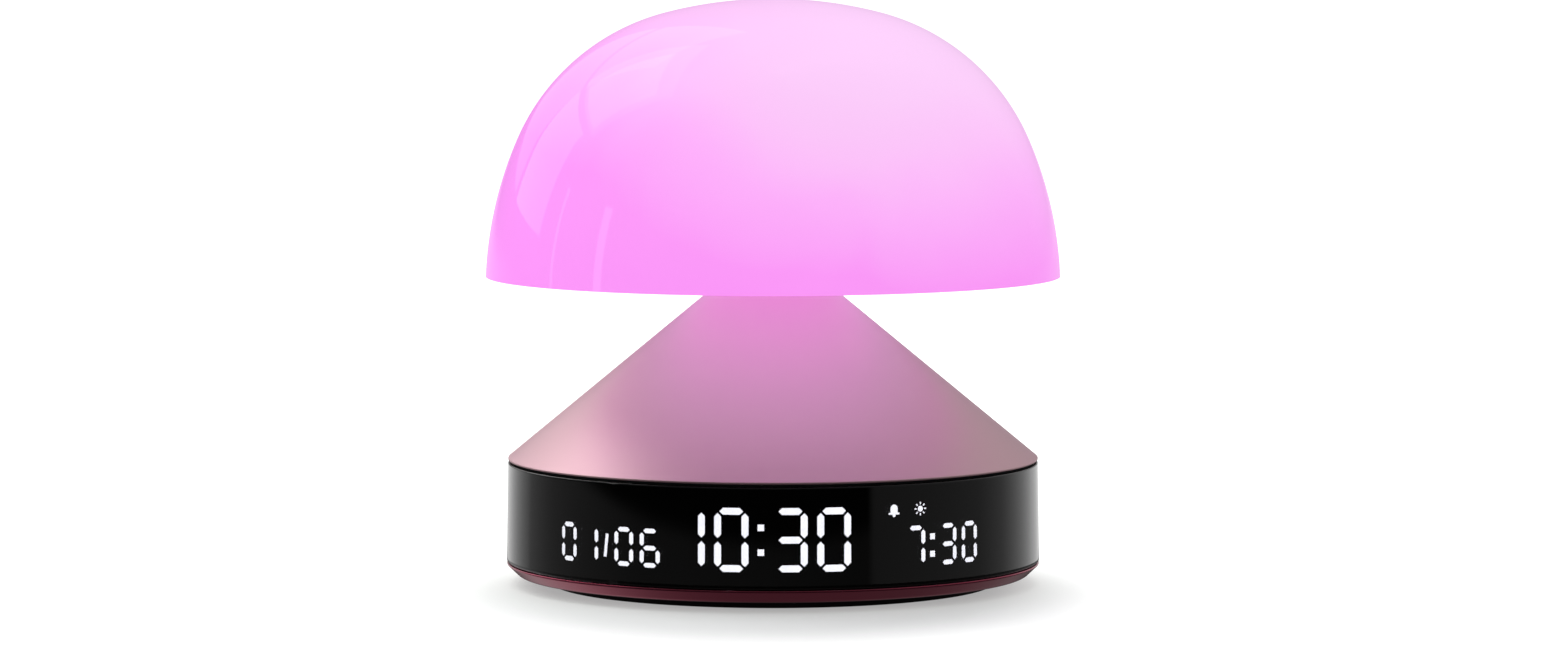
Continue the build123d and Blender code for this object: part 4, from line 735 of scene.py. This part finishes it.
# Matt surfaces get one even grey light from the world.
rays = node(tree, "LightPath")
through = node(tree, "Math", operation="MAXIMUM")
lighting = node(tree, "Mix", {"A": (0.55, 0.55, 0.55, 1)}, data_type="RGBA")
shown = node(tree, "Mix", {"B": (1, 1, 1, 1)}, data_type="RGBA")
tree.links.new(rays.outputs["Is Glossy Ray"], through.inputs[0])
tree.links.new(rays.outputs["Is Transmission Ray"], through.inputs[1])
tree.links.new(through.outputs["Value"], lighting.inputs["Factor"])
tree.links.new(gloss, lighting.inputs["B"])
tree.links.new(rays.outputs["Is Camera Ray"], shown.inputs["Factor"])
tree.links.new(lighting.outputs["Result"], shown.inputs["A"])
tree.links.new(shown.outputs["Result"], tree.nodes["Background"].inputs["Color"])

# ------------------------------------------------------------------ lights
# A big softbox hangs above and behind the clock. A window of four panes, with the sky's
# glow round the upper one, stands behind it on its left, and two narrow strips beside it.
light_aim = Vector((0.0, 0.0, 0.08))
pane_distance = 2.0
pane_width, pane_height = 0.92, 0.83


def softbox(name, azimuth, elevation, distance, width, height, level, in_gloss=True):
    """A rectangular area light that faces the clock from an azimuth and an elevation. It
    shows this level in gloss: its power is the level times pi times its area."""
    turn, tilt = np.radians(azimuth), np.radians(elevation)
    ray = Vector((np.sin(turn) * np.cos(tilt), -np.cos(turn) * np.cos(tilt), np.sin(tilt)))
    lamp = bpy.data.lights.new(name, "AREA")
    lamp.shape = "RECTANGLE"
    lamp.size, lamp.size_y = width, height
    lamp.energy = level * np.pi * width * height
    light = bpy.data.objects.new(name, lamp)
    light.location = light_aim + distance * ray
    light.rotation_euler = (-ray).to_track_quat("-Z", "Y").to_euler()
    light.visible_glossy = in_gloss
    bpy.context.scene.collection.objects.link(light)


softbox("key_light", -165, 58, 1.4, 1.3, 1.3, 1.5, in_gloss=False)
for name, pane_azimuth, elevation, level in (
    ("pane_low_back", -151, 19.5, 0.78),
    ("pane_high_back", -151, 44.5, 0.86),
    ("pane_low_side", -122, 19.5, 1.8),
    ("pane_high_side", -119, 46.5, 1.35),
):
    softbox(name, pane_azimuth, elevation, pane_distance, pane_width, pane_height, level)
softbox("pane_glow", -120, 49, pane_distance, 1.25, 1.10, 0.9)
softbox("wide_strip", -73, 9.5, pane_distance, 0.13, 0.74, 2.6)
softbox("narrow_strip", -98, 9, pane_distance, 0.05, 0.72, 2.0)

# ------------------------------------------------------------------ camera
# A long lens stands a little above the dome, in front of the clock, and looks down at the
# middle of it.
camera_place = Vector((-0.00023, -1.445, 0.1702))
camera_aim = Vector((-0.00023, 0.0, 0.05943))
camera = bpy.data.objects.new("camera", bpy.data.cameras.new("camera"))
camera.data.lens = 147.3
camera.data.sensor_width = 36.0
camera.data.clip_end = 100.0
camera.location = camera_place
camera.rotation_euler = (camera_aim - camera_place).to_track_quat("-Z", "Y").to_euler()
bpy.context.scene.collection.objects.link(camera)
bpy.context.scene.camera = camera
bpy.context.scene.view_settings.view_transform = "Standard"
